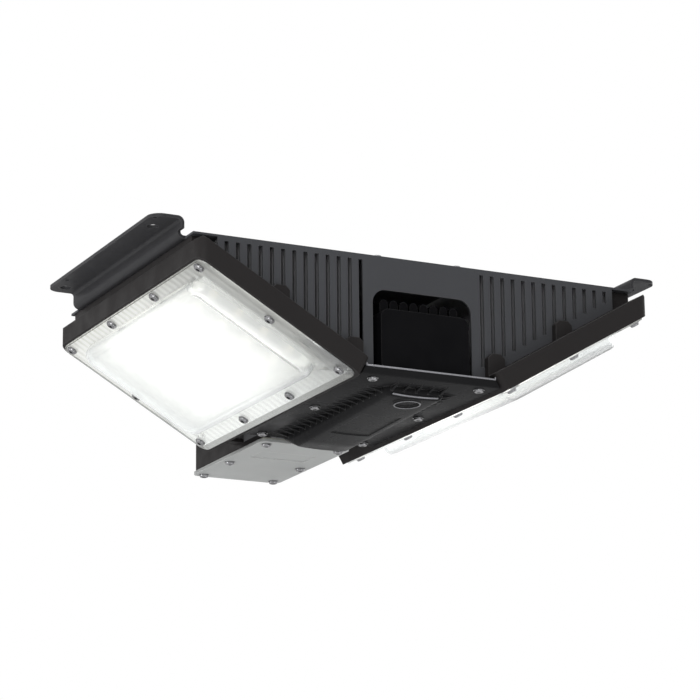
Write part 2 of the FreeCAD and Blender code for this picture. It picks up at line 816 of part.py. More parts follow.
def make_driver_cover():
    """Cast cover under the driver housing: a lipped pan with a crowned, ribbed middle."""
    body = new_body("driver_cover")
    edge = "flange_half+cover_gap"
    front, rear = "flange_front+cover_gap", "spine_rear-cover_gap"
    floor_top = "-gasket_thick"
    floor_low = "-(gasket_thick+cover_floor)"
    pan = [
        ("-pan_low_half", floor_low),
        ("pan_low_half", floor_low),
        ("pan_top_half", "cover_lip-gasket_thick"),
        ("-pan_top_half", "cover_lip-gasket_thick"),
    ]
    add(body, "pan", "XZ_Plane", [pan], (f"-({front}+cover_rim)", rear))
    round_edges(body, "pan_front_edge", "cover_floor", ALONG_X, lambda p: p.y < 0 and near(p.z, floor_low))
    inside = centred(edge, f"-({front})", rear)
    cut(body, "pan_inside", "XY_Plane", [inside], (floor_top, "cover_lip-gasket_thick"))
    crown = [
        ("-crown_front", floor_top),
        ("-crown_front", f"{floor_low}-crown_nose"),
        ("crown_tail", f"{floor_low}-crown_drop"),
        ("crown_rear", f"{floor_low}-crown_end"),
        ("crown_rear", floor_top),
    ]
    add(body, "crown", "YZ_Plane", [crown], ("-crown_half", "crown_half"))
    fall = FreeCAD.Vector(0, amount("crown_front+crown_tail"), amount("crown_nose-crown_drop"))
    fall.normalize()
    round_edges(body, "crown_shoulders", "crown_soft", fall, lambda p: near(abs(p.x), "crown_half"))
    nose = f"{floor_low}-crown_nose"
    round_edges(body, "crown_brow", "crown_soft", ALONG_X, lambda p: near(p.y, "-crown_front") and near(p.z, nose))
    inside = centred("crown_half-crown_wall", "crown_wall-crown_front", "crown_tail")
    cut(body, "crown_inside", "XY_Plane", [inside], (f"{nose}+crown_wall", floor_top))

    def crown_low(place):
        """Height of the crown's sloping underside at a place along it."""
        return f"{nose}-(crown_drop-crown_nose)*(crown_front+({place}))/(crown_front+crown_tail)"

    plaque = [
        ("-plaque_front", f"{crown_low('-plaque_front')}-overcut"),
        ("-plaque_front", f"{crown_low('-plaque_front')}+plaque_deep"),
        ("plaque_rear", f"{crown_low('plaque_rear')}+plaque_deep"),
        ("plaque_rear", f"{crown_low('plaque_rear')}-overcut"),
    ]
    cut(body, "plaque", "YZ_Plane", [plaque], ("-plaque_half", "plaque_half"))
    for side in ("-", "+"):
        rib = [
            (f"{side}(crown_half-rib_root)", f"{floor_low}+rib_root"),
            (f"{side}(crown_half-rib_root)", f"{floor_low}-rib_edge"),
            (f"{side}crown_half", f"{floor_low}-rib_edge"),
            (f"{side}(crown_half+rib_reach)", floor_low),
            (f"{side}(crown_half+rib_reach)", f"{floor_low}+rib_root"),
        ]
        first = add(body, "side_rib", "XZ_Plane", [rib], ("-rib_first", "rib_thick-rib_first"))
        row = body.newObject("PartDesign::LinearPattern", "side_ribs")
        row.Originals = [first]
        row.Direction = (origin_plane(body, "Y_Axis"), [""])
        row.Occurrences = RIB_COUNT
        bind(row, Length=f"rib_pitch*{RIB_COUNT - 1}")
        body.Tip = row
        doc.recompute()
    for place in FRONT_RIBS:
        rib = [
            ("-crown_front+rib_root", f"{floor_low}+rib_root"),
            ("-crown_front+rib_root", f"{floor_low}-rib_edge"),
            ("-crown_front", f"{floor_low}-rib_edge"),
            ("-(crown_front+rib_reach)", floor_low),
            ("-(crown_front+rib_reach)", f"{floor_low}+rib_root"),
        ]
        middle = f"({place})*rib_pitch"
        add(body, "front_rib", "YZ_Plane", [rib], (f"{middle}-rib_thick/2", f"{middle}+rib_thick/2"))
    hang(body)
    keep(body, "driver_cover")


def make_driver_gasket():
    """Flat seal between the driver housing's flange and its cover."""
    body = new_body("driver_gasket")
    rear = "spine_rear-cover_gap"
    outer = centred("flange_half", "-flange_front", rear)
    inner = centred("flange_half-gasket_wide", "gasket_wide-flange_front", f"{rear}-gasket_wide")
    add(body, "seal", "XY_Plane", [outer], ("-gasket_thick", "0"))
    cut(body, "seal_opening", "XY_Plane", [inner], ("-gasket_thick", "0"))
    hang(body)
    keep(body, "driver_gasket")


def make_driver_cover_screws():
    """Heads of the screws through the cover's flange."""
    low = "-(gasket_thick+cover_floor+head_tall)-hang_drop"
    heads = []
    for side in ("-", "+"):
        for place in ("-cover_screw_front", "-cover_screw_mid", "cover_screw_rear"):
            heads.append(prism_head("cover_screw", 12, "head_wide", "head_tall", f"{side}cover_screw_x", place, low))
    keep(group("driver_cover_screws", heads), "driver_cover_screws")


def make_junction_box():
    """Cast junction box behind the driver housing, open underneath, with two ears under the rear end plate."""
    body = new_body("junction_shell")
    outer = centred("box_half", "spine_rear", "box_rear")
    add(body, "shell", "XY_Plane", [outer], ("-box_low", "box_top"))
    round_edges(body, "shell_corners", "box_round", ALONG_Z, lambda p: near(p.y, "box_rear"))
    ears = centred("flange_half", "plate_face-plate_thick/2-ear_half", "plate_face-plate_thick/2+ear_half")
    add(body, "ears", "XY_Plane", [ears], ("0", "flange_thick"))
    inside = centred("box_half-box_wall", "spine_rear+box_wall", "box_rear-box_wall")
    cut(body, "box_inside", "XY_Plane", [inside], ("-box_low", "box_top-box_wall"))
    posts = []
    for side in ("-", "+"):
        for place in ("lid_screw_front", "lid_screw_mid", "lid_screw_rear"):
            near_x, far_x = f"{side}(lid_screw_x-post_wide/2)", f"{side}(box_half-box_wall/2)"
            low_x, high_x = (far_x, near_x) if side == "-" else (near_x, far_x)
            posts.append(rect(low_x, f"{place}-post_wide/2", high_x, f"{place}+post_wide/2"))
    add(body, "screw_posts", "XY_Plane", posts, ("-box_low", "box_top-box_wall/2"))
    bore = cylinder("gland_hole", "gland_thread+fit_gap", "2*box_wall", "0", "gland_at", "box_top-1.5*box_wall")
    drilled = doc.addObject("Part::Cut", "junction_box_drilled")
    drilled.Base = body
    drilled.Tool = bore
    hang(drilled)
    keep(drilled, "junction_box")


def make_junction_gasket():
    """Flat seal between the junction box and its cover."""
    body = new_body("junction_gasket")
    low = "-box_low-gasket_thick"
    outer = centred("box_half", "spine_rear+lid_over", "box_rear")
    inner = centred("box_half-box_wall", "spine_rear+box_wall", "box_rear-box_wall")
    add(body, "seal", "XY_Plane", [outer], (low, "-box_low"))
    round_edges(body, "seal_corners", "box_round", ALONG_Z, lambda p: near(p.y, "box_rear"))
    cut(body, "seal_opening", "XY_Plane", [inner], (low, "-box_low"))
    hang(body)
    keep(body, "junction_gasket")


def make_junction_cover():
    """Flat cover with rounded corners and a shallow blank recess."""
    body = new_body("junction_cover")
    high = "-box_low-gasket_thick"
    plate = centred("box_half+lid_over", "spine_rear+lid_over", "box_rear+lid_over")
    add(body, "plate", "XY_Plane", [plate], (f"{high}-lid_thick", high))
    round_edges(body, "plate_corners", "lid_corner", ALONG_Z, lambda p: True)
    blank = centred("tab_half", "tab_front", "tab_rear")
    cut(body, "blank_recess", "XY_Plane", [blank], (f"{high}-lid_thick", f"{high}-lid_thick+tab_deep"))
    hang(body)
    keep(body, "junction_cover")


def make_junction_screws():
    """Heads of the screws through the junction cover."""
    low = "-(box_low+gasket_thick+lid_thick+head_tall)-hang_drop"
    heads = []
    for side in ("-", "+"):
        for place in ("lid_screw_front", "lid_screw_mid", "lid_screw_rear"):
            heads.append(prism_head("lid_screw", 12, "head_wide", "head_tall", f"{side}lid_screw_x", place, low))
    keep(group("junction_screws", heads), "junction_screws")


def make_terminal_block():
    """Supply terminals fixed under the roof of the junction box."""
    block = box(
        "terminal_block",
        "-strip_half",
        "strip_at",
        "box_top-box_wall-strip_tall-hang_drop",
        "2*strip_half",
        "strip_deep",
        "strip_tall",
    )
    keep(block, "terminal_block")


def make_cable_gland():
    """Cable gland on the junction box's roof: a bored body, a dome nut over its neck and a lock nut inside."""

    def bored(label, pieces, z_low, tall, bore):
        solid = pieces[0]
        if len(pieces) > 1:
            solid = doc.addObject("Part::MultiFuse", f"{label}_outside")
            solid.Shapes = pieces
        hole = cylinder(f"{label}_bore", bore, f"({tall})+2*overcut", "0", "gland_at", f"({z_low})-overcut")
        cutter = doc.addObject("Part::Cut", label)
        cutter.Base = solid
        cutter.Tool = hole
        hang(cutter)
        return keep(cutter, label)

    thread_low = "box_top-box_wall-lock_tall-thread_end"
    seat_top = "box_top+gland_seat"
    thread = cylinder("gland_thread_rod", "gland_thread", f"box_top-({thread_low})", "0", "gland_at", thread_low)
    seat = prism_head("gland_seat_hex", 6, "gland_hex", "gland_seat", "0", "gland_at", "box_top")
    bored("cable_gland", [thread, seat], thread_low, f"{seat_top}-({thread_low})", "gland_bore")
    grip = prism_head("gland_grip_hex", 6, "gland_nut", "gland_grip", "0", "gland_at", seat_top)
    dome = prism_head("gland_dome", 12, "dome_wide", "gland_dome", "0", "gland_at", f"{seat_top}+gland_grip")
    bored("gland_nut", [grip, dome], seat_top, "gland_grip+gland_dome", "gland_bore")
    lock = prism_head("gland_lock_hex", 6, "gland_nut", "lock_tall", "0", "gland_at", "box_top-box_wall-lock_tall")
    bored("gland_lock_nut", [lock], "box_top-box_wall-lock_tall", "lock_tall", "gland_thread+fit_gap")


def check_and_write():
    """Writes each node's solid once every object of the document is sound."""
    doc.recompute()
    bad = [thing.Name for thing in doc.Objects if {"Invalid", "Error"} & set(thing.State)]
    if bad:
        raise RuntimeError(f"failed features: {bad}")
    for node in NODES:
        if node.Shape.isNull() or not node.Shape.isValid():
            raise RuntimeError(f"{node.Label} has no sound shape")
    os.makedirs("parts", exist_ok=True)
    for node in NODES:
        node.Shape.exportStep(f"parts/{node.Label}.step")
        print(node.Label, len(node.Shape.Solids), round(node.Shape.Volume, 1))


make_lamp_housing()
make_lens()
make_lens_gasket()
make_reflector()
make_led_board()
make_lens_screws()
make_end_plates()
make_end_plate_screws()
make_top_plate()
make_top_plate_screws()
make_bracket()
make_bracket_bolts()
make_driver_housing()
make_led_driver()
make_driver_cover()
make_driver_gasket()
make_driver_cover_screws()
make_junction_box()
make_junction_gasket()
make_junction_cover()
make_junction_screws()
make_terminal_block()
make_cable_gland()
check_and_write()
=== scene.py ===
"""Dresses the LED tunnel light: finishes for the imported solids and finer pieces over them.

Sizes are in millimetres until a mesh is written, and then in metres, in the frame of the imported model: the
origin is the centre of the ceiling holes, +Z is up and +Y is the rear, where the junction box is.
"""
import json
import logging
import math
from dataclasses import dataclass, field
from enum import Enum

import bmesh
import bpy
import numpy
from mathutils import Matrix, Vector

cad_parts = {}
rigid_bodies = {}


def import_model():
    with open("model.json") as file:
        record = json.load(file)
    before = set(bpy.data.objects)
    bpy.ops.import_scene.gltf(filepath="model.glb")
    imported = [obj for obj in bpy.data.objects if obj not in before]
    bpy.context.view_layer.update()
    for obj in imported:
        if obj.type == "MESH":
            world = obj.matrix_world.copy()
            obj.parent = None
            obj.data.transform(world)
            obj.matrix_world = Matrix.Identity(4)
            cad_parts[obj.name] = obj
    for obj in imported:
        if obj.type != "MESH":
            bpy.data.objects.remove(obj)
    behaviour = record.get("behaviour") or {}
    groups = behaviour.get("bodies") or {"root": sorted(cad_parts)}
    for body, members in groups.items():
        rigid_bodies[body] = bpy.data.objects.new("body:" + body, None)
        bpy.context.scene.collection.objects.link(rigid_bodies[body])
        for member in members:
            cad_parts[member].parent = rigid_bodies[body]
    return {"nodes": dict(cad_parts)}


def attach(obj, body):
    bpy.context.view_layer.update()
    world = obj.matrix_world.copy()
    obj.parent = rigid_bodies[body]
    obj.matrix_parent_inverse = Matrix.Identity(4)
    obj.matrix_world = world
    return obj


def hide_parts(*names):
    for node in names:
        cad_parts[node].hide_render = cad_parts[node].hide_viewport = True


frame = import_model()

BMesh = bmesh.types.BMesh
Node = bpy.types.Node
Socket = bpy.types.NodeSocket
Tree = bpy.types.NodeTree
Pair = tuple[float, float]
Place = tuple[float, float, float]

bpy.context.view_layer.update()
LOG = logging.getLogger("tunnel_light")
MM = 0.001
# Which sockets of a mix node carry the share, its two colours and the result.
MIX_SHARE, MIX_FIRST, MIX_SECOND, MIX_RESULT = 0, 6, 7, 2
# How high the ceiling holes stand over the datum that pieces are set out from.
HANG_DROP = 126.0
# The lamps' lean, and how far their inner screw rows stand from the middle.
LAMP_TILT = math.radians(30)
LAMP_ROW = 86.0
# Turns a head that stands along +Z to hang below a face.
FACING_DOWN = Matrix.Rotation(math.pi, 4, "X")
IN_PLACE = Matrix.Identity(4)
# How near two corners are when they are welded: in metres in a finished piece, in millimetres before.
WELD, WELD_MM = 1e-7, 1e-5
# How near a corner lies to a level when it is on it, in millimetres.
ON_LEVEL, ON_TOP = 1e-6, 1e-4
# Edges that turn further than this look sharp.
SHARP_ANGLE = math.radians(32)
# How every edge and corner is rounded.
ROUNDING = {"offset_type": "OFFSET", "profile": 0.5, "material": -1}
NOISE_DETAIL = 5.0
EDGE_SAMPLES = 4
# How far the flat and the rounded normal agree where the edges' wear and painted highlight start, and where
# they are full.
EDGE_AGREE = (0.99, 0.85)
# Patches of gloss: the noise that counts, the shares of roughness at its ends, and how many go in a tone.
PATCH_NOISE, PATCH_GLOSS, PATCHES_PER_TONE = (0.3, 0.7), (0.85, 1.2), 4


class Side(Enum):
    """Which half of the light a piece belongs to, with the sign of its X."""

    LEFT = -1
    RIGHT = 1

    @property
    def word(self) -> str:
        """The side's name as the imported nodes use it."""
        return self.name.lower()


def linear(hex_colour: str) -> tuple[float, float, float, float]:
    """Turns an sRGB hex colour into linear values.

    Args:
        hex_colour: six hex digits, with or without a leading hash.

    Returns:
        Linear red, green, blue and an alpha of one.
    """
    digits = hex_colour.lstrip("#")
    values = [int(digits[i:i + 2], 16) / 255 for i in (0, 2, 4)]
    bright = [v / 12.92 if v <= 0.04045 else ((v + 0.055) / 1.055) ** 2.4 for v in values]
    return (*bright, 1.0)


def per_mm(size_mm: float) -> float:
    """The texture scale whose features are about that many millimetres across."""
    return 1.0 / (size_mm * MM)


def add_node(tree: Tree, kind: str, inputs: dict | tuple = (), **settings: object) -> Node:
    """Adds a shader node with its settings, values and links.

    Args:
        tree: the node tree to add to.
        kind: the node's type name.
        inputs: values or output sockets, by input name or index or in the node's order.
        **settings: properties of the node itself.

    Returns:
        The new node.
    """
    made = tree.nodes.new(kind)
    for name, value in settings.items():
        setattr(made, name, value)
    for key, value in inputs.items() if isinstance(inputs, dict) else enumerate(inputs):
        if isinstance(value, Socket):
            tree.links.new(value, made.inputs[key])
        else:
            made.inputs[key].default_value = value
    return made


@dataclass(frozen=True)
class Finish:
    """A surface finish: colour, gloss, the grain and tone that the real surface shows, and paler edges that
    are partly wear and partly painted highlight.
    """

    name: str
    colour: str
    roughness: float
    metallic: float = 0.0
    grain_mm: float = 1.0
    grain_depth_mm: float = 0.01
    tone: float = 0.15
    tone_mm: float = 90.0
    edge_mm: float = 0.5
    worn: str = "#8f8f90"
    wear: float = 0.35
    mirror: float = 0.5

    def material(self) -> bpy.types.Material:
        """The finish as a material, made once and then shared.

        Returns:
            The material.
        """
        known = bpy.data.materials.get(self.name)
        if known:
            return known
        made = bpy.data.materials.new(self.name)
        made.use_nodes = True
        tree = made.node_tree
        tree.nodes.clear()
        place = add_node(tree, "ShaderNodeTexCoord").outputs["Object"]
        shader = self.shader(tree, place)
        add_node(tree, "ShaderNodeOutputMaterial", {"Surface": shader.outputs[0]})
        return made

    def cloud(self, tree: Tree, place: Socket, size_mm: float) -> Socket:
        """Soft noise from nought to one, in patches about that many millimetres wide."""
        inputs = {"Vector": place, "Scale": per_mm(size_mm), "Detail": NOISE_DETAIL}
        return add_node(tree, "ShaderNodeTexNoise", inputs).outputs["Fac"]

    def tint(self, tree: Tree, place: Socket) -> Socket:
        """The colour, drifting a little over the surface.

        Args:
            tree: the material's nodes.
            place: object coordinates.

        Returns:
            A colour socket.
        """
        base = linear(self.colour)
        low = tuple(v * (1 - self.tone) for v in base[:3]) + (1.0,)
        high = tuple(min(1.0, v * (1 + self.tone)) for v in base[:3]) + (1.0,)
        inputs = {MIX_SHARE: self.cloud(tree, place, self.tone_mm), MIX_FIRST: low, MIX_SECOND: high}
        return add_node(tree, "ShaderNodeMix", inputs, data_type="RGBA").outputs[MIX_RESULT]

    def soft_normal(self, tree: Tree) -> Socket:
        """The normal with its sharp edges rounded."""
        radius = {"Radius": self.edge_mm * MM}
        return add_node(tree, "ShaderNodeBevel", radius, samples=EDGE_SAMPLES).outputs[0]

    def edge_wear(self, tree: Tree, soft: Socket) -> Socket:
        """How far the edges are paled, partly as wear and partly as painted highlight: nought on flats, up
        to the finish's share on edges.

        Args:
            tree: the material's nodes.
            soft: the rounded normal.

        Returns:
            A value socket.
        """
        flat = add_node(tree, "ShaderNodeNewGeometry").outputs["Normal"]
        agree = add_node(tree, "ShaderNodeVectorMath", (flat, soft), operation="DOT_PRODUCT")
        inputs = (agree.outputs["Value"], *EDGE_AGREE, 0.0, self.wear)
        return add_node(tree, "ShaderNodeMapRange", inputs).outputs[0]

    def relief(self, tree: Tree, place: Socket, soft: Socket) -> Socket:
        """The rounded normal with the finish's grain on it."""
        grain = {"Height": self.cloud(tree, place, self.grain_mm), "Distance": self.grain_depth_mm * MM}
        return add_node(tree, "ShaderNodeBump", {**grain, "Strength": 1.0, "Normal": soft}).outputs[0]

    def gloss(self, tree: Tree, place: Socket) -> Socket:
        """Roughness that varies a little in patches, as handled surfaces do.

        Args:
            tree: the material's nodes.
            place: object coordinates.

        Returns:
            A value socket.
        """
        low, high = (self.roughness * share for share in PATCH_GLOSS)
        patches = self.cloud(tree, place, self.tone_mm / PATCHES_PER_TONE)
        inputs = (patches, *PATCH_NOISE, low, min(1.0, high))
        return add_node(tree, "ShaderNodeMapRange", inputs).outputs[0]

    def shader(self, tree: Tree, place: Socket) -> Node:
        """The surface shader.

        Args:
            tree: the material's nodes.
            place: object coordinates.

        Returns:
            The shader node.
        """
        soft = self.soft_normal(tree)
        rubbed_and_lit = self.edge_wear(tree, soft)
        colours = {MIX_SHARE: rubbed_and_lit, MIX_FIRST: self.tint(tree, place), MIX_SECOND: linear(self.worn)}
        coat = add_node(tree, "ShaderNodeMix", colours, data_type="RGBA")
        inputs = {
            "Base Color": coat.outputs[MIX_RESULT],
            "Roughness": self.gloss(tree, place),
            "Metallic": self.metallic,
            "Specular IOR Level": self.mirror,
            "Normal": self.relief(tree, place, soft),
        }
        return add_node(tree, "ShaderNodeBsdfPrincipled", inputs)


def lamp_depth(tree: Tree, axes: Node) -> Socket:
    """Metres behind a lamp's lens seat, square to its lens, on either side of the light.

    Args:
        tree: the material's nodes.
        axes: the separated object coordinates.

    Returns:
        A value socket.
    """
    rise, run = math.cos(LAMP_TILT), math.sin(LAMP_TILT)
    shift = (HANG_DROP * rise + LAMP_ROW * run) * MM
    scaled = (axes.outputs["Z"], rise, shift)
    height = add_node(tree, "ShaderNodeMath", scaled, operation="MULTIPLY_ADD")
    across = add_node(tree, "ShaderNodeMath", (axes.outputs["X"],), operation="ABSOLUTE")
    leaned = (across.outputs[0], -run, height.outputs[0])
    return add_node(tree, "ShaderNodeMath", leaned, operation="MULTIPLY_ADD").outputs[0]


@dataclass(frozen=True)
class FinnedCoat(Finish):
    """A casting's coat with a paler colour painted in the deep gaps between the fins, as light where shade
    falls.
    """

    fin_colour: str = "#7c7c7e"
    back_mm: float = 20.6
    fin_end_mm: float = 138.0
    fin_out_mm: float = 200.0

    def tint(self, tree: Tree, place: Socket) -> Socket:
        """The coat's colour outside, and a paler colour painted between the fins as light in their shaded
        gaps.

        Args:
            tree: the material's nodes.
            place: object coordinates.

        Returns:
            A colour socket.
        """
        outside = super().tint(tree, place)
        axes = add_node(tree, "ShaderNodeSeparateXYZ", (place,))
        behind = (lamp_depth(tree, axes), self.back_mm * MM)
        painted_light_share = add_node(tree, "ShaderNodeMath", behind, operation="GREATER_THAN").outputs[0]
        for axis, limit in (("Y", self.fin_end_mm), ("X", self.fin_out_mm)):
            reach = add_node(tree, "ShaderNodeMath", (axes.outputs[axis],), operation="ABSOLUTE").outputs[0]
            within = add_node(tree, "ShaderNodeMath", (reach, limit * MM), operation="LESS_THAN")
            both = (painted_light_share, within.outputs[0])
            painted_light_share = add_node(tree, "ShaderNodeMath", both, operation="MULTIPLY").outputs[0]
        inputs = {MIX_SHARE: painted_light_share, MIX_FIRST: outside, MIX_SECOND: linear(self.fin_colour)}
        return add_node(tree, "ShaderNodeMix", inputs, data_type="RGBA").outputs[MIX_RESULT]


@dataclass(frozen=True)
class ClearMoulding(Finish):
    """Clear polycarbonate, injection moulded, with a faint painted glow that stands in for the lamp's light
    carried out to its rim.
    """

    ior: float = 1.58
    haze: float = 0.095
    faint: float = 0.2
    front_mm: float = -130.0
    full_mm: float = -20.0
    outer_mm: float = 222.0
    inner_mm: float = 203.0

    def shader(self, tree: Tree, place: Socket) -> Node:
        """The see-through shader, whose painted glow is fainter at the front end and at the outer edge.

        Args:
            tree: the material's nodes.
            place: object coordinates.

        Returns:
            The shader node.
        """
        flat = add_node(tree, "ShaderNodeNewGeometry").outputs["Normal"]
        axes = add_node(tree, "ShaderNodeSeparateXYZ", (place,))
        ends = (self.front_mm * MM, self.full_mm * MM)
        length = (axes.outputs["Y"], *ends, self.faint * self.haze, self.haze)
        along = add_node(tree, "ShaderNodeMapRange", length).outputs[0]
        reach = add_node(tree, "ShaderNodeMath", (axes.outputs["X"],), operation="ABSOLUTE").outputs[0]
        width = (reach, self.outer_mm * MM, self.inner_mm * MM, self.faint, 1.0)
        across = add_node(tree, "ShaderNodeMapRange", width).outputs[0]
        glow = add_node(tree, "ShaderNodeMath", (along, across), operation="MULTIPLY")
        inputs = {
            "Base Color": linear(self.colour),
            "Roughness": self.gloss(tree, place),
            "IOR": self.ior,
            "Transmission Weight": 1.0,
            "Normal": self.relief(tree, place, flat),
            "Emission Color": linear(self.colour),
            "Emission Strength": glow.outputs[0],
        }
        return add_node(tree, "ShaderNodeBsdfPrincipled", inputs)


@dataclass(frozen=True)
class LitReflector(Finish):
    """Bright rolled aluminium, fluted across its slopes, and washed with a painted glow that stands in for
    the light from the LEDs.
    """

    flute_mm: float = 10.0
    flute_depth_mm: float = 0.5
    flute_strength: float = 0.6
    stripe: float = 0.45
    rim_glow: float = 0.76
    throat_glow: float = 1.35
    front_share: float = 0.25
    mouth_mm: float = 4.5
    throat_mm: float = 12.5
    front_mm: float = -150.0
    full_mm: float = 0.0

    def flutes(self, tree: Tree, axes: Node) -> Socket:
        """Waves along the lamp, from nought to one.

        Args:
            tree: the material's nodes.
            axes: the separated object coordinates.

        Returns:
            A value socket.
        """
        each = (axes.outputs["Y"], math.tau / (self.flute_mm * MM))
        turns = add_node(tree, "ShaderNodeMath", each, operation="MULTIPLY").outputs[0]
        wave = add_node(tree, "ShaderNodeMath", (turns,), operation="SINE").outputs[0]
        halved = (wave, 0.5, 0.5)
        return add_node(tree, "ShaderNodeMath", halved, operation="MULTIPLY_ADD").outputs[0]

    def shader(self, tree: Tree, place: Socket) -> Node:
        """Bright metal with a painted glow that stands in for the LED light it sends back.

        Args:
            tree: the material's nodes.
            place: object coordinates.

        Returns:
            The shader node.
        """
        axes = add_node(tree, "ShaderNodeSeparateXYZ", (place,))
        flutes = self.flutes(tree, axes)
        slope = (self.mouth_mm * MM, self.throat_mm * MM)
        depth = (lamp_depth(tree, axes), *slope, self.rim_glow, self.throat_glow)
        deep = add_node(tree, "ShaderNodeMapRange", depth).outputs[0]
        length = (axes.outputs["Y"], self.front_mm * MM, self.full_mm * MM, self.front_share, 1.0)
        along = add_node(tree, "ShaderNodeMapRange", length).outputs[0]
        striped = (flutes, self.stripe, 1.0 - self.stripe)
        stripe = add_node(tree, "ShaderNodeMath", striped, operation="MULTIPLY_ADD").outputs[0]
        washed = add_node(tree, "ShaderNodeMath", (deep, along), operation="MULTIPLY").outputs[0]
        glow = add_node(tree, "ShaderNodeMath", (washed, stripe), operation="MULTIPLY").outputs[0]
        bump = {"Height": flutes, "Strength": self.flute_strength, "Distance": self.flute_depth_mm * MM}
        inputs = {
            "Base Color": self.tint(tree, place),
            "Roughness": self.roughness,
            "Metallic": self.metallic,
            "Normal": add_node(tree, "ShaderNodeBump", bump).outputs[0],
            "Emission Color": linear(self.colour),
            "Emission Strength": glow,
        }
        return add_node(tree, "ShaderNodeBsdfPrincipled", inputs)


@dataclass(frozen=True)
class Lit(Finish):
    """A lit surface that fades towards the front end of the lamp."""

    strength: float = 1.0
    end_share: float = 0.05
    end_mm: float = -110.0
    full_mm: float = 35.0

    def shader(self, tree: Tree, place: Socket) -> Node:
        """A pale surface with light of its own.

        Args:
            tree: the material's nodes.
            place: object coordinates.

        Returns:
            The shader node.
        """
        axes = add_node(tree, "ShaderNodeSeparateXYZ", (place,))
        ends = (self.end_mm * MM, self.full_mm * MM)
        fading = (axes.outputs["Y"], *ends, self.strength * self.end_share, self.strength)
        inputs = {
            "Base Color": self.tint(tree, place),
            "Roughness": self.gloss(tree, place),
            "Emission Color": linear(self.colour),
            "Emission Strength": add_node(tree, "ShaderNodeMapRange", fading).outputs[0],
        }
        return add_node(tree, "ShaderNodeBsdfPrincipled", inputs)


# Die-cast aluminium under a satin powder coat: an orange-peel skin about a millimetre across. A paler colour
# is painted between its fins as light in their shaded gaps.
HOUSING_COAT = FinnedCoat(
    "satin_coated_casting", "#2a2828", 0.55,
    grain_mm=1.4, grain_depth_mm=0.02, edge_mm=1.0, wear=0.2, mirror=0.09,
)
# The driver spine has the same coat, deeper and flatter.
SPINE_COAT = Finish(
    "black_coated_casting", "#08080a", 0.65,
    grain_mm=1.4, grain_depth_mm=0.02, edge_mm=1.0, wear=0.1, mirror=0.06,
)
# Folded sheet steel, powder coated dark grey, smoother than the castings.
SHEET_COAT = Finish(
    "coated_sheet_steel", "#4b4c4f", 0.5,
    grain_mm=0.9, grain_depth_mm=0.008, tone=0.12, edge_mm=0.4, mirror=0.1,
)
# Bracket strip with the same coat, a shade darker.
STRIP_COAT = Finish(
    "coated_strip_steel", "#3e3e40", 0.45,
    grain_mm=0.9, grain_depth_mm=0.01, tone=0.15, edge_mm=0.7, mirror=0.06,
)
# Cast cover with black paint, paler along its ribs and lips, partly as wear and partly as painted highlight.
COVER_PAINT = Finish(
    "gloss_painted_casting", "#232324", 0.27,
    grain_mm=2.2, grain_depth_mm=0.012, edge_mm=0.9, worn="#a0a0a0", wear=0.16, mirror=0.015,
)
# Grey painted flat cover, with near-white edges that are partly wear and partly painted highlight.
LID_PAINT = Finish(
    "satin_painted_cover", "#aaacab", 0.42,
    grain_mm=1.2, grain_depth_mm=0.012, edge_mm=1.2, worn="#f4f4f4", wear=0.6, mirror=0.1,
)
# Plain stainless fasteners, turned and tumbled, with paler edges that are partly wear and partly painted
# highlight.
STAINLESS = Finish(
    "stainless_steel", "#8f8f91", 0.24, 1.0,
    grain_mm=0.6, grain_depth_mm=0.004, tone_mm=8.0, edge_mm=0.2, worn="#d8d8d8",
)
# Silicone sheet seal, matt with a faint olive cast.
SILICONE = Finish("silicone_sheet", "#8f8f86", 0.7, grain_mm=0.5, edge_mm=0.1, wear=0.0)
# Lens, clear but for a slight haze, with faint flow marks from the mould, and a painted glow that stands in
# for the lamp's light spread through it.
POLYCARBONATE = ClearMoulding(
    "clear_polycarbonate", "#f6f8f8", 0.21, grain_mm=14.0, grain_depth_mm=0.02, tone_mm=40.0
)
# The reflector glows with painted light that stands in for the LEDs' light on it.
BRIGHT_SHEET = LitReflector("bright_rolled_aluminium", "#d2d2ce", 0.35, 1.0)
# The board glows with painted light, though only its LED packages are lamps.
LIT_BOARD = Lit("white_solder_mask", "#fffdf8", 0.5, strength=1.2)
LIT_PACKAGE = Lit("phosphor_silicone", "#fff8ea", 0.3, strength=4.0, end_share=0.02)
# Bright metal strips along the cover's front lip, brow and boss: painted highlights that stand in for thin
# bright lines of reflected light.
PAINTED_HIGHLIGHT_METAL = Finish(
    "machined_aluminium", "#86868a", 0.4, 1.0, grain_mm=0.7, grain_depth_mm=0.004, tone=0.08, wear=0.0
)
DRIVER_CASE = Finish("plain_folded_aluminium", "#8f9092", 0.4, 1.0, tone=0.06)
NYLON = Finish("black_nylon", "#1d1d1f", 0.5, grain_mm=0.8, grain_depth_mm=0.015, wear=0.1)
PALE_NYLON = Finish("pale_nylon", "#c9c8c0", 0.5, grain_mm=0.8, wear=0.0)


def dress(node: str, finish: Finish) -> None:
    """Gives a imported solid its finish.

    Args:
        node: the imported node's name.
        finish: what it is made of.
    """
    holder = frame["nodes"][node]
    for thing in [holder, *holder.children_recursive]:
        if thing.type == "MESH":
            thing.data.materials.clear()
            thing.data.materials.append(finish.material())
    LOG.info("dressed %s in %s", node, finish.name)


def add_object(name: str, data: bpy.types.ID) -> bpy.types.Object:
    """Adds an object to the scene.

    Args:
        name: the object's name.
        data: its mesh, light or camera.

    Returns:
        The object.
    """
    made = bpy.data.objects.new(name, data)
    bpy.context.scene.collection.objects.link(made)
    return made


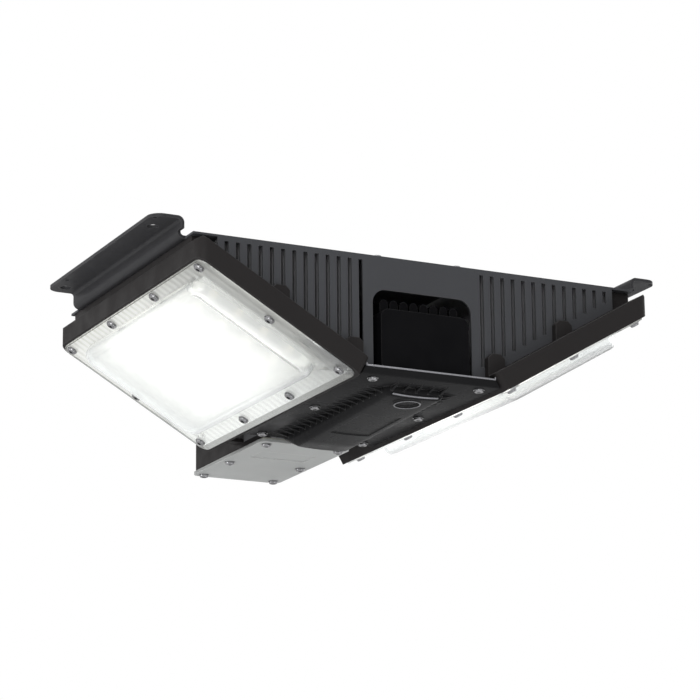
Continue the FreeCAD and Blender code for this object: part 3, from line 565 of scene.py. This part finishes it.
def place_piece(bm: BMesh, name: str, finish: Finish, stands_for: str | None = None) -> None:
    """Writes a mesh as a finished piece of the light.

    Args:
        bm: the piece's mesh, in metres and in place; it is freed.
        name: the piece's name.
        finish: what it is made of.
        stands_for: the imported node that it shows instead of, if any.
    """
    bmesh.ops.remove_doubles(bm, verts=bm.verts, dist=WELD)
    bmesh.ops.recalc_face_normals(bm, faces=bm.faces)
    mesh = bpy.data.meshes.new(name)
    bm.to_mesh(mesh)
    bm.free()
    mesh.polygons.foreach_set("use_smooth", [True] * len(mesh.polygons))
    mesh.set_sharp_from_angle(angle=SHARP_ANGLE)
    mesh.materials.append(finish.material())
    piece = add_object(name, mesh)
    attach(piece, "root")
    if stands_for:
        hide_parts(stands_for)
    LOG.info("made %s with %d faces", name, len(mesh.polygons))


def join_copy(target: BMesh, shape: BMesh, matrix: Matrix) -> None:
    """Adds a placed copy of one mesh to another.

    Args:
        target: the mesh that grows.
        shape: the mesh that is copied.
        matrix: where the copy goes.
    """
    mesh = bpy.data.meshes.new("copy")
    shape.to_mesh(mesh)
    mesh.transform(matrix)
    target.from_mesh(mesh)
    bpy.data.meshes.remove(mesh)


def join_last(target: BMesh, shape: BMesh, matrix: Matrix = IN_PLACE) -> None:
    """Adds one mesh to another, and frees it."""
    join_copy(target, shape, matrix)
    shape.free()


def rounded_face(bm: BMesh, low: Vector, high: Vector, radius: float, segments: int) -> bmesh.types.BMFace:
    """A flat face with round corners, level in z.

    Args:
        bm: the mesh to add to.
        low: its lowest corner.
        high: its highest corner, at the same z.
        radius: of the corners.
        segments: in each corner.

    Returns:
        The face.
    """
    corners = bmesh.ops.create_grid(bm, x_segments=1, y_segments=1, size=0.5)["verts"]
    size = high - low
    bmesh.ops.scale(bm, vec=(size.x, size.y, 1.0), verts=corners)
    bmesh.ops.translate(bm, vec=(low + high) / 2, verts=corners)
    shape = {"offset": radius, "segments": segments, "affect": "VERTICES", "clamp_overlap": True}
    bmesh.ops.bevel(bm, geom=corners, **shape, **ROUNDING)
    return next(f for f in bm.faces if all(abs(v.co.z - low.z) < ON_LEVEL for v in f.verts))


def spun(outline: list[Pair], steps: int) -> BMesh:
    """Turns an outline of radii and heights about Z.

    Args:
        outline: radius and height of each corner, in order.
        steps: how many facets go round.

    Returns:
        The turned mesh.
    """
    bm = bmesh.new()
    spots = [bm.verts.new((radius, 0.0, height)) for radius, height in outline]
    edges = [bm.edges.new(pair) for pair in zip(spots, spots[1:])]
    about = {"cent": (0, 0, 0), "axis": (0, 0, 1), "angle": math.tau, "steps": steps}
    bmesh.ops.spin(bm, geom=spots + edges, use_merge=True, **about)
    bmesh.ops.remove_doubles(bm, verts=bm.verts, dist=WELD_MM)
    bmesh.ops.recalc_face_normals(bm, faces=bm.faces)
    return bm


def soften(bm: BMesh, edges: list, offset: float, segments: int) -> None:
    """Rounds edges by that offset, with that many facets across each."""
    shape = {"offset": offset, "segments": segments, "affect": "EDGES"}
    bmesh.ops.bevel(bm, geom=edges, **shape, **ROUNDING)


def box(bm: BMesh, low: tuple, high: tuple) -> list:
    """Adds a plain block.

    Args:
        bm: the mesh to add to.
        low: its lowest corner.
        high: its highest corner.

    Returns:
        All its corners.
    """
    low, high = Vector(low), Vector(high)
    corners = bmesh.ops.create_cube(bm, size=1.0)["verts"]
    bmesh.ops.scale(bm, vec=high - low, verts=corners)
    bmesh.ops.translate(bm, vec=(low + high) / 2, verts=corners)
    return corners


def block(bm: BMesh, low: tuple, high: tuple, soft: float) -> None:
    """Adds a block with rounded edges."""
    corners = box(bm, low, high)
    soften(bm, list({e for v in corners for e in v.link_edges}), soft, 3)


def slice_through(bm: BMesh, point: tuple, normal: tuple) -> None:
    """Adds edges all round a mesh where a plane meets it."""
    everything = bm.verts[:] + bm.edges[:] + bm.faces[:]
    bmesh.ops.bisect_plane(bm, geom=everything, plane_co=point, plane_no=normal)


def lift(bm: BMesh, edges: list, rise: float) -> None:
    """Moves a loop of edges along Z."""
    bmesh.ops.translate(bm, vec=(0, 0, rise), verts=list({v for e in edges for v in e.verts}))


@dataclass
class HeadShape:
    """A screw head as turned: a low dome with a round driver recess, on a plain washer."""

    radius: float = 4.3
    height: float = 3.0
    washer_radius: float = 5.0
    washer_height: float = 0.8
    dome: tuple[Pair, ...] = ((1.0, 0.62), (0.93, 0.83), (0.74, 0.96), (0.52, 1.0))
    recess_radius: float = 1.9
    recess_depth: float = 1.7
    recess_taper: float = 0.92
    steps: int = 28

    def build(self) -> BMesh:
        """The head, seated at the origin and standing along +Z, in millimetres.

        Returns:
            The head's mesh.
        """
        floor = self.height - self.recess_depth
        outline = [(0.0, 0.0), (self.washer_radius, 0.0), (self.washer_radius, self.washer_height)]
        outline.append((self.radius, self.washer_height))
        outline += [(self.radius * wide, self.height * tall) for wide, tall in self.dome]
        outline += [(self.recess_radius, self.height), (self.recess_radius * self.recess_taper, floor)]
        return spun([*outline, (0.0, floor)], self.steps)


@dataclass
class HexShape:
    """A hexagon head with a chamfered crown on a pressed flange."""

    across_flats: float = 10.0
    height: float = 4.0
    flange_radius: float = 6.6
    flange_height: float = 1.0
    flange_taper: float = 0.9
    flange_steps: int = 32
    chamfer: float = 0.7

    def build(self) -> BMesh:
        """The head, seated at the origin and standing along +Z, in millimetres.

        Returns:
            The head's mesh.
        """
        bm = bmesh.new()
        rim, corner = self.flange_radius, self.across_flats / math.sqrt(3)
        flange = (self.flange_steps, rim, rim * self.flange_taper, 0.0, self.flange_height)
        body = (6, corner, corner, self.flange_height / 2, self.height)
        for steps, foot, head, low, high in (flange, body):
            shape = {"segments": steps, "radius1": foot, "radius2": head, "depth": high - low}
            middle = Matrix.Translation((0, 0, (low + high) / 2))
            spots = bmesh.ops.create_cone(bm, cap_ends=True, matrix=middle, **shape)["verts"]
        top = {v for v in spots if v.co.z > self.height - ON_TOP}
        soften(bm, [e for e in bm.edges if set(e.verts) <= top], self.chamfer, 2)
        return bm


def repeated(one: BMesh, places: list[Matrix]) -> BMesh:
    """Repeats one shape at many places.

    Args:
        one: the shape, in millimetres; it is freed.
        places: a matrix for each, in millimetres of the whole light.

    Returns:
        All of them as one mesh, in metres.
    """
    many = bmesh.new()
    for place in places:
        join_copy(many, one, Matrix.Scale(MM, 4) @ place)
    one.free()
    return many


def under_face(half: float, rows: tuple[float, ...], face: float) -> list[Matrix]:
    """Places for heads on a face that looks down, at both ends of each row."""
    spots = [(side.value * half, row, -HANG_DROP - face) for side in Side for row in rows]
    return [Matrix.Translation(spot) @ FACING_DOWN for spot in spots]


@dataclass
class Lamp:
    """One tilted lamp: housing, lens, seal, reflector, LED board and lens screws."""

    side: Side
    row_span: float = 153.0
    pitch: float = 100.0
    screws_in_row: int = 4
    lens_thick: float = 4.0
    lens_low: Pair = (-12.5, -162.5)
    lens_high: Pair = (159.5, 162.5)
    lens_corner: float = 9.0
    lens_soft: float = 0.6
    pillow_low: Pair = (12.0, -132.0)
    pillow_high: Pair = (147.0, 132.0)
    pillow_drop: float = 12.0
    pillow_corner: float = 15.0
    pillow_edge: float = 8.0
    wall: float = 3.0
    corner_steps: int = 8
    edge_steps: int = 6
    # Loops are this far apart while they are bridged, so that none lies in another's plane.
    loop_gap: float = 100.0
    board_face: float = 13.4
    chip_columns: int = 4
    chip_rows: int = 8
    chip_pitch: float = 28.0
    chip_half: float = 2.5
    chip_tall: float = 1.0
    chip_body: float = 0.7
    dome_share: float = 0.8
    dome_flatness: float = 0.15

    @property
    def matrix(self) -> Matrix:
        """Takes the lamp's own flat frame to the light's frame, in millimetres."""
        hung = Matrix.Translation((LAMP_ROW, 0, -HANG_DROP)) @ Matrix.Rotation(-LAMP_TILT, 4, "Y")
        return Matrix.Diagonal((self.side.value, 1, 1, 1)) @ hung

    def node(self, name: str) -> str:
        """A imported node's name on this side."""
        return f"{self.side.word}_{name}"

    def build(self) -> None:
        """Dresses the lamp's solids and makes its finer pieces."""
        dress(self.node("lamp_housing"), HOUSING_COAT)
        dress(self.node("lens_gasket"), SILICONE)
        dress(self.node("reflector"), BRIGHT_SHEET)
        dress(self.node("led_board"), LIT_BOARD)
        self.make_lens()
        self.make_packages()
        self.make_screws()

    def make_lens(self) -> None:
        """The clear lens, with a softly rounded middle and a hollow behind it."""
        bm = bmesh.new()
        inset = Vector((self.wall, self.wall))
        rim = (Vector(self.lens_low), Vector(self.lens_high), self.lens_corner)
        pillow = (Vector(self.pillow_low), Vector(self.pillow_high), self.pillow_corner)
        hollow = (pillow[0] + inset, pillow[1] - inset, self.pillow_corner - self.wall)
        outlines = [pillow, pillow, rim, rim, hollow, hollow]
        thick, drop = self.lens_thick, self.pillow_drop
        levels = [-drop, 0.0, 0.0, thick, thick, self.wall - drop]
        loops = []
        for i, (low, high, radius) in enumerate(outlines):
            before = set(bm.edges)
            face = rounded_face(bm, low.to_3d(), high.to_3d(), radius, self.corner_steps)
            edges = [e for e in bm.edges if e not in before]
            if 0 < i < len(outlines) - 1:
                bmesh.ops.delete(bm, geom=[face], context="FACES_ONLY")
            lift(bm, edges, self.loop_gap * (i + 1))
            loops.append(edges)
        for first, second in zip(loops, loops[1:]):
            bmesh.ops.bridge_loops(bm, edges=first + second)
        for i, (edges, level) in enumerate(zip(loops, levels)):
            lift(bm, edges, level - self.loop_gap * (i + 1))
        bmesh.ops.recalc_face_normals(bm, faces=bm.faces)
        soften(bm, loops[0], self.pillow_edge, self.edge_steps)
        soften(bm, loops[2], self.lens_soft, 2)
        soften(bm, loops[5], self.pillow_edge - self.wall, self.edge_steps)
        bmesh.ops.transform(bm, matrix=Matrix.Scale(MM, 4) @ self.matrix, verts=bm.verts)
        place_piece(bm, self.node("clear_lens"), POLYCARBONATE, self.node("lens"))

    def make_packages(self) -> None:
        """Rows of square LED packages, each with a low silicone dome."""
        one = bmesh.new()
        half, body = self.chip_half, self.chip_tall * self.chip_body
        box(one, (-half, -half, -body), (half, half, 0))
        ball = {"u_segments": 12, "v_segments": 6, "radius": half * self.dome_share}
        dome = bmesh.ops.create_uvsphere(one, **ball)["verts"]
        bmesh.ops.scale(one, vec=(1, 1, self.dome_flatness), verts=dome)
        bmesh.ops.translate(one, vec=(0, 0, -body), verts=dome)
        middle = Vector((self.row_span / 2, 0, self.board_face))
        first = Vector(((1 - self.chip_columns) / 2, (1 - self.chip_rows) / 2, 0))
        steps = [Vector((i, j, 0)) for i in range(self.chip_columns) for j in range(self.chip_rows)]
        spots = [middle + (first + step) * self.chip_pitch for step in steps]
        many = repeated(one, [self.matrix @ Matrix.Translation(spot) for spot in spots])
        place_piece(many, self.node("led_packages"), LIT_PACKAGE, self.node("led_chips"))

    def make_screws(self) -> None:
        """Domed screws round the lens."""
        middle = (self.screws_in_row - 1) / 2
        ends = (0.0, self.row_span)
        spots = [(s, (i - middle) * self.pitch) for s in ends for i in range(self.screws_in_row)]
        spots += [(self.row_span / 2, end * middle * self.pitch) for end in (-1, 1)]
        places = [self.matrix @ Matrix.Translation((s, y, 0)) @ FACING_DOWN for s, y in spots]
        heads = repeated(HeadShape().build(), places)
        place_piece(heads, self.node("domed_lens_screws"), STAINLESS, self.node("lens_screws"))


@dataclass
class Bracket:
    """A folded ceiling bracket and the two bolts through its foot."""

    side: Side
    bolt_x: float = 213.0
    bolt_half: float = 95.0
    bolt_seat: float = 111.2 - HANG_DROP

    def build(self) -> None:
        """Dresses the strip and makes its bolts."""
        word = self.side.word
        dress(f"{word}_mounting_bracket", STRIP_COAT)
        spots = [(self.side.value * self.bolt_x, end * self.bolt_half, self.bolt_seat) for end in (-1, 1)]
        bolts = repeated(HexShape().build(), [Matrix.Translation(spot) for spot in spots])
        place_piece(bolts, f"{word}_flanged_bolts", STAINLESS, f"{word}_bracket_bolts")


@dataclass
class EndPlates:
    """The slotted end plates, the top plate that ties them together, and their screws."""

    screw_x: float = 40.0
    screw_y: float = 136.0
    screw_seat: float = 110.2 - HANG_DROP

    def build(self) -> None:
        """Dresses the plates and the screws behind them, and makes the top plate's screws."""
        for node in ("front_end_plate", "rear_end_plate", "top_plate"):
            dress(node, SHEET_COAT)
        dress("end_plate_screws", STAINLESS)
        spots = [(x * self.screw_x, y * self.screw_y, self.screw_seat) for x in (-1, 1) for y in (-1, 1)]
        heads = repeated(HeadShape().build(), [Matrix.Translation(spot) for spot in spots])
        place_piece(heads, "domed_top_screws", STAINLESS, "top_plate_screws")


@dataclass
class DriverCover:
    """The cast cover: a lipped pan with a crowned and ribbed middle, a blank plaque and a round boss."""

    low_half: float = 69.0
    top_half: float = 64.8
    brim_half: float = 60.0
    front: float = -161.0
    rear: float = 91.5
    floor_low: float = -3.5
    floor_top: float = -1.0
    lip_top: float = 5.0
    rim: float = 2.5
    pan_soft: float = 1.0
    pan_turn: float = 0.6
    crown_half: float = 30.0
    crown_front: float = -131.0
    crown_tail: float = 60.0
    crown_rear: float = 88.0
    nose_low: float = -12.4
    tail_low: float = -19.3
    rear_low: float = -8.0
    crown_bow: float = 1.6
    crown_corner: float = 7.0
    crown_soft: float = 6.0
    # The crown is drawn this deep before it is shaped, and can bend at these places.
    crown_draft: float = -10.0
    crown_columns: tuple[float, ...] = (-20.0, -10.0, 0.0, 10.0, 20.0)
    crown_rows: tuple[float, ...] = (-100.0, -65.0, -30.0, 3.0, 35.0, 60.0, 74.0)
    plaque_half: float = 20.0
    plaque_front: float = -65.0
    plaque_rear: float = 3.0
    plaque_rim: float = 0.8
    plaque_deep: float = 0.9
    plaque_facing: float = -0.9
    rib_reach: float = 16.0
    rib_edge: float = 4.5
    rib_thick: float = 2.0
    rib_pitch: float = 12.0
    rib_first: float = -121.0
    rib_count: int = 17
    rib_sunk: float = 1.5
    rib_seat: float = 1.0
    rib_soft: float = 0.3
    front_ribs: range = range(-2, 3)
    boss_at: float = -113.0
    boss_radius: float = 13.0
    boss_wall: float = 2.6
    boss_tall: float = 1.5
    boss_soft: float = 0.6
    boss_sunk: float = 2.0
    boss_steps: int = 40
    bead_thick: float = 1.5
    bead_turn: float = 1.5
    bead_ahead: float = 0.4
    bead_proud: float = 0.2
    # Shares of the bead's thickness: its rounding on the lip, its half and its rounding on the brow, and
    # round the boss its half at the foot and at the crest, and how far it stands out.
    lip_round: float = 0.4
    brow_half: float = 0.7
    brow_round: float = 0.6
    ring_shares: tuple[float, ...] = (0.4, 0.25, 0.2)
    # The brow's bead bends at these steps, of so many in its half.
    brow_bends: range = range(-2, 3)
    brow_steps: int = 3
    cast: BMesh = field(default_factory=bmesh.new)
    beads: BMesh = field(default_factory=bmesh.new)

    def build(self) -> None:
        """Makes the whole cover as one piece, and its bright beads, which are painted highlights, as
        another.
        """
        self.add_pan()
        self.add_crown()
        self.add_ribs()
        self.add_boss()
        self.add_lip_bead()
        self.add_brow_bead()
        self.add_boss_bead()
        hung = Matrix.Scale(MM, 4) @ Matrix.Translation((0, 0, -HANG_DROP))
        for mesh in (self.cast, self.beads):
            bmesh.ops.transform(mesh, matrix=hung, verts=mesh.verts)
        place_piece(self.cast, "ribbed_driver_cover", COVER_PAINT, "driver_cover")
        place_piece(self.beads, "bare_front_edges", PAINTED_HIGHLIGHT_METAL)

    def add_lip_bead(self) -> None:
        """The painted-highlight bead along the top of the front lip, turned up at its ends."""
        thick = self.bead_thick
        soft = thick * self.lip_round
        low, top = self.lip_top - thick, self.lip_top + self.bead_proud
        near = self.front - self.bead_ahead
        block(self.beads, (-self.top_half, near, low), (self.top_half, near + thick, top), soft)
        for side in Side:
            ends = sorted((side.value * self.top_half, side.value * (self.top_half - thick)))
            block(self.beads, (ends[0], near, low), (ends[1], near + thick, top + self.bead_turn), soft)

    def add_brow_bead(self) -> None:
        """The painted-highlight bead on the crown's rounded brow, bowed as the crown is."""
        bead = bmesh.new()
        half = self.crown_half - self.crown_corner
        brow = self.crown_soft * (1 - math.sqrt(0.5))
        middle = Vector((0, self.crown_front + brow, self.nose_low + brow))
        reach = Vector((half, self.bead_thick * self.brow_half, self.bead_thick * self.brow_half))
        block(bead, middle - reach, middle + reach, self.bead_thick * self.brow_round)
        for place in self.brow_bends:
            slice_through(bead, (place * half / self.brow_steps, 0, 0), (1, 0, 0))
        for spot in bead.verts:
            spot.co.z += self.crown_bow * (spot.co.x / self.crown_half) ** 2
        join_last(self.beads, bead)

    def add_boss_bead(self) -> None:
        """The painted-highlight bead round the boss's crest."""
        middle, crest = self.boss_radius - self.boss_wall / 2, -self.boss_tall
        wide, narrow, proud = (self.bead_thick * share for share in self.ring_shares)
        outline = [(middle + wide, crest + proud), (middle + narrow, crest - proud)]
        outline += [(middle - narrow, crest - proud), (middle - wide, crest + proud), outline[0]]
        join_last(self.beads, spun(outline, self.boss_steps), self.boss_place())

    def add_pan(self) -> None:
        """The flat floor with drafted sides, and the lips that rise at its front and sides."""
        part = bmesh.new()
        low = (-self.low_half, self.front, self.floor_low)
        corners = box(part, low, (self.low_half, self.rear, self.lip_top))
        top = [v for v in corners if v.co.z > self.floor_top]
        bmesh.ops.scale(part, vec=(self.top_half / self.low_half, 1, 1), verts=top)
        roof = next(f for f in part.faces if all(v in top for v in f.verts))
        bmesh.ops.inset_region(part, faces=[roof], thickness=self.rim, use_even_offset=True)
        inner = list(roof.verts)
        bmesh.ops.scale(part, vec=(self.brim_half / (self.top_half - self.rim), 1, 1), verts=inner)
        sunk = bmesh.ops.extrude_face_region(part, geom=[roof])["geom"]
        floor = [v for v in sunk if isinstance(v, bmesh.types.BMVert)]
        bmesh.ops.translate(part, vec=(0, 0, self.floor_top - self.lip_top), verts=floor)
        bmesh.ops.delete(part, geom=[roof], context="FACES_ONLY")
        soften(part, [e for e in part.edges if e.calc_face_angle(0.0) > self.pan_turn], self.pan_soft, 3)
        join_last(self.cast, part)

    def crown_low(self, place: float) -> float:
        """The height of the crown's underside at a place along the cover."""
        ends = (self.crown_front, self.crown_tail, self.crown_rear)
        return float(numpy.interp(place, ends, (self.nose_low, self.tail_low, self.rear_low)))

    def add_crown(self) -> None:
        """The bowed middle, deeper towards the rear, with its plaque pressed in."""
        part = bmesh.new()
        low = Vector((-self.crown_half, self.crown_front, 0.0))
        high = Vector((self.crown_half, self.crown_rear, 0.0))
        face = rounded_face(part, low, high, self.crown_corner, 6)
        grown = bmesh.ops.extrude_face_region(part, geom=[face])["geom"]
        moved = [v for v in grown if isinstance(v, bmesh.types.BMVert)]
        bmesh.ops.translate(part, vec=(0, 0, self.crown_draft), verts=moved)
        soften(part, [e for e in part.edges if set(e.verts) <= set(moved)], self.crown_soft, 8)
        for x in self.crown_columns:
            slice_through(part, (x, 0, 0), (1, 0, 0))
        for y in self.crown_rows:
            slice_through(part, (0, y, 0), (0, 1, 0))
        for spot in part.verts:
            share = spot.co.z / self.crown_draft
            bow = self.crown_bow * (spot.co.x / self.crown_half) ** 2
            spot.co.z = self.floor_top + share * (self.crown_low(spot.co.y) + bow - self.floor_top)
        bmesh.ops.recalc_face_normals(part, faces=part.faces)
        plaque = [f for f in part.faces if f.normal.z < self.plaque_facing and self.on_plaque(f)]
        sunk = {"thickness": self.plaque_rim, "depth": -self.plaque_deep, "use_even_offset": True}
        bmesh.ops.inset_region(part, faces=plaque, **sunk)
        join_last(self.cast, part)

    def on_plaque(self, face: bmesh.types.BMFace) -> bool:
        """Whether the middle of a face of the crown lies inside the plaque's outline."""
        x, y, _ = face.calc_center_median()
        return abs(x) < self.plaque_half and self.plaque_front < y < self.plaque_rear

    def add_ribs(self) -> None:
        """Wedge-shaped ribs down both sides of the crown and across its front."""
        one = bmesh.new()
        root = self.crown_half - self.rib_sunk
        tip = self.crown_half + self.rib_reach
        half = self.rib_thick / 2
        low = (root, -half, self.floor_low - self.rib_edge)
        corners = box(one, low, (tip, half, self.floor_low + self.rib_seat))
        toe = [v for v in corners if v.co.x > (tip + root) / 2 and v.co.z < self.floor_low]
        bmesh.ops.translate(one, vec=(0, 0, self.rib_edge), verts=toe)
        soften(one, one.edges[:], self.rib_soft, 2)
        for side in Side:
            for i in range(self.rib_count):
                along = Matrix.Translation((0, self.rib_first + i * self.rib_pitch, 0))
                join_copy(self.cast, one, Matrix.Diagonal((side.value, 1, 1, 1)) @ along)
        turn = Matrix.Rotation(math.radians(-90), 4, "Z")
        for place in self.front_ribs:
            onto = Matrix.Translation((place * self.rib_pitch, self.crown_front + self.crown_half, 0))
            join_copy(self.cast, one, onto @ turn)
        one.free()

    def boss_place(self) -> Matrix:
        """Where the boss stands on the sloping crown.

        Returns:
            A matrix in the cover's frame.
        """
        fall = math.atan2(self.tail_low - self.nose_low, self.crown_tail - self.crown_front)
        spot = Matrix.Translation((0, self.boss_at, self.crown_low(self.boss_at)))
        return spot @ Matrix.Rotation(fall, 4, "X")

    def add_boss(self) -> None:
        """The raised ring near the front of the crown."""
        outer, inner = self.boss_radius, self.boss_radius - self.boss_wall
        crest, soft, sunk = -self.boss_tall, self.boss_soft, self.boss_sunk
        outline = [(outer, sunk), (outer, crest + soft), (outer - soft, crest)]
        outline += [(inner + soft, crest), (inner, crest + soft), (inner, sunk)]
        join_last(self.cast, spun(outline, self.boss_steps), self.boss_place())


@dataclass
class Spine:
    """The driver housing, its ribbed cover, and what is inside it."""

    cover_face: float = 3.5
    screw_x: float = 53.0
    screw_rows: tuple[float, ...] = (-150.0, -34.0, 80.0)

    def build(self) -> None:
        """Dresses the spine's solids and makes its screws."""
        dress("driver_housing", SPINE_COAT)
        DriverCover().build()
        dress("driver_gasket", SILICONE)
        dress("led_driver", DRIVER_CASE)
        heads = repeated(HeadShape().build(), under_face(self.screw_x, self.screw_rows, self.cover_face))
        place_piece(heads, "domed_cover_screws", STAINLESS, "driver_cover_screws")


@dataclass
class Junction:
    """The junction box, its flat cover, and its cable gland."""

    lid_face: float = 8.0
    screw_x: float = 38.0
    screw_rows: tuple[float, ...] = (103.0, 188.0, 251.0)
    gland_y: float = 215.0
    dome_outline: tuple[Pair, ...] = (
        (4.5, 60.9), (10.4, 60.9), (10.4, 62.5), (9.9, 64.6), (8.8, 66.1),
        (7.4, 66.8), (5.2, 66.8), (4.5, 66.2), (4.5, 60.9),
    )
    dome_steps: int = 32

    def build(self) -> None:
        """Dresses the box's solids and makes its screws."""
        dress("junction_box", HOUSING_COAT)
        dress("junction_cover", LID_PAINT)
        dress("junction_gasket", SILICONE)
        dress("terminal_block", PALE_NYLON)
        for node in ("cable_gland", "gland_nut", "gland_lock_nut"):
            dress(node, NYLON)
        heads = repeated(HeadShape().build(), under_face(self.screw_x, self.screw_rows, self.lid_face))
        place_piece(heads, "domed_lid_screws", STAINLESS, "junction_screws")
        self.make_gland_dome()

    def make_gland_dome(self) -> None:
        """The rounded crown of the gland's nut, with the cable's mouth through it."""
        dome = spun(list(self.dome_outline), self.dome_steps)
        hung = Matrix.Scale(MM, 4) @ Matrix.Translation((0, self.gland_y, -HANG_DROP))
        bmesh.ops.transform(dome, matrix=hung, verts=dome.verts)
        place_piece(dome, "gland_dome", NYLON)


@dataclass(frozen=True)
class SoftLamp:
    """A square lamp: its place and side in metres, and its power in watts."""

    name: str
    place: Place
    size: float
    power: float


@dataclass
class Studio:
    """Pale floor, soft lamps, white surroundings and the camera."""

    floor_z: float = -1.35
    floor_half: float = 8.5
    floor_colour: str = "#ececec"
    floor_roughness: float = 0.8
    fill: float = 0.06
    overhead: float = 2.0
    overhead_spread: float = 0.6
    lamps: tuple[SoftLamp, ...] = (
        SoftLamp("key_lamp", (-1.8, -2.6, 0.9), 2.0, 46.0),
        SoftLamp("right_lamp", (2.8, 1.2, 0.5), 1.4, 12.0),
        SoftLamp("low_lamp", (0.9, -2.0, -1.1), 0.8, 6.0),
        SoftLamp("side_lamp", (-2.8, 0.6, 0.1), 1.4, 24.0),
    )
    middle: Place = (0, 0, -0.08)
    eye: Place = (-1.14821, -2.28651, -0.74520)
    right: Place = (0.89483, -0.44628, -0.01078)
    up: Place = (-0.10580, -0.23546, 0.96611)
    focal_px: float = 2835.8
    frame_px: float = 700.0
    sensor: float = 36.0
    view_end: float = 50.0

    def build(self) -> None:
        """Sets up everything round the object."""
        bpy.context.scene.view_settings.view_transform = "Standard"
        self.make_world()
        self.make_floor()
        self.make_overhead()
        for lamp in self.lamps:
            self.make_lamp(lamp)
        self.make_camera()

    def make_world(self) -> None:
        """White surroundings for the camera and for reflections, with softer light on the object."""
        world = bpy.data.worlds.new("soft_surroundings")
        bpy.context.scene.world = world
        world.use_nodes = True
        tree = world.node_tree
        tree.nodes.clear()
        path = add_node(tree, "ShaderNodeLightPath")
        seen = path.outputs["Is Camera Ray"]
        for way in ("Is Glossy Ray", "Is Transmission Ray"):
            either = (seen, path.outputs[way])
            seen = add_node(tree, "ShaderNodeMath", either, operation="MAXIMUM").outputs[0]
        level = add_node(tree, "ShaderNodeMapRange", (seen, 0.0, 1.0, self.fill, 1.0)).outputs[0]
        glow = add_node(tree, "ShaderNodeBackground", {"Color": (1, 1, 1, 1), "Strength": level})
        add_node(tree, "ShaderNodeOutputWorld", {"Surface": glow.outputs[0]})

    def make_floor(self) -> None:
        """A wide pale floor far below the light."""
        bm = bmesh.new()
        bmesh.ops.create_grid(bm, x_segments=1, y_segments=1, size=self.floor_half)
        bmesh.ops.translate(bm, vec=(0, 0, self.floor_z), verts=bm.verts)
        mesh = bpy.data.meshes.new("pale_floor")
        bm.to_mesh(mesh)
        bm.free()
        paint = bpy.data.materials.new("pale_floor_paint")
        paint.use_nodes = True
        shader = paint.node_tree.nodes["Principled BSDF"]
        shader.inputs["Base Color"].default_value = linear(self.floor_colour)
        shader.inputs["Roughness"].default_value = self.floor_roughness
        mesh.materials.append(paint)
        floor = add_object("pale_floor", mesh)

    def make_overhead(self) -> None:
        """Wide soft light from straight above, which keeps the floor evenly pale."""
        data = bpy.data.lights.new("overhead_light", "SUN")
        data.energy = self.overhead
        data.angle = self.overhead_spread
        add_object("overhead_light", data)

    def make_lamp(self, shape: SoftLamp) -> None:
        """Adds a lamp that faces the object.

        Args:
            shape: what lamp it is, and where it stands.
        """
        data = bpy.data.lights.new(shape.name, "AREA")
        data.size = shape.size
        data.energy = shape.power
        lamp = add_object(shape.name, data)
        lamp.location = shape.place
        aim = Vector(self.middle) - lamp.location
        lamp.rotation_euler = aim.to_track_quat("-Z", "Y").to_euler()

    def make_camera(self) -> None:
        """The camera at the photograph's place and angle."""
        data = bpy.data.cameras.new("camera")
        data.sensor_width = self.sensor
        data.lens = self.focal_px / self.frame_px * self.sensor
        data.clip_end = self.view_end
        camera = add_object("camera", data)
        back = Vector(self.right).cross(self.up)
        turn = Matrix((self.right, self.up, back)).transposed().to_4x4()
        camera.matrix_world = Matrix.Translation(self.eye) @ turn
        bpy.context.scene.camera = camera


def main() -> None:
    """Builds the light's sub-assemblies in order, then the studio."""
    logging.basicConfig(level=logging.INFO, format="%(message)s")
    for side in Side:
        Lamp(side).build()
        Bracket(side).build()
    EndPlates().build()
    Spine().build()
    Junction().build()
    Studio().build()


if __name__ == "__main__":
    main()
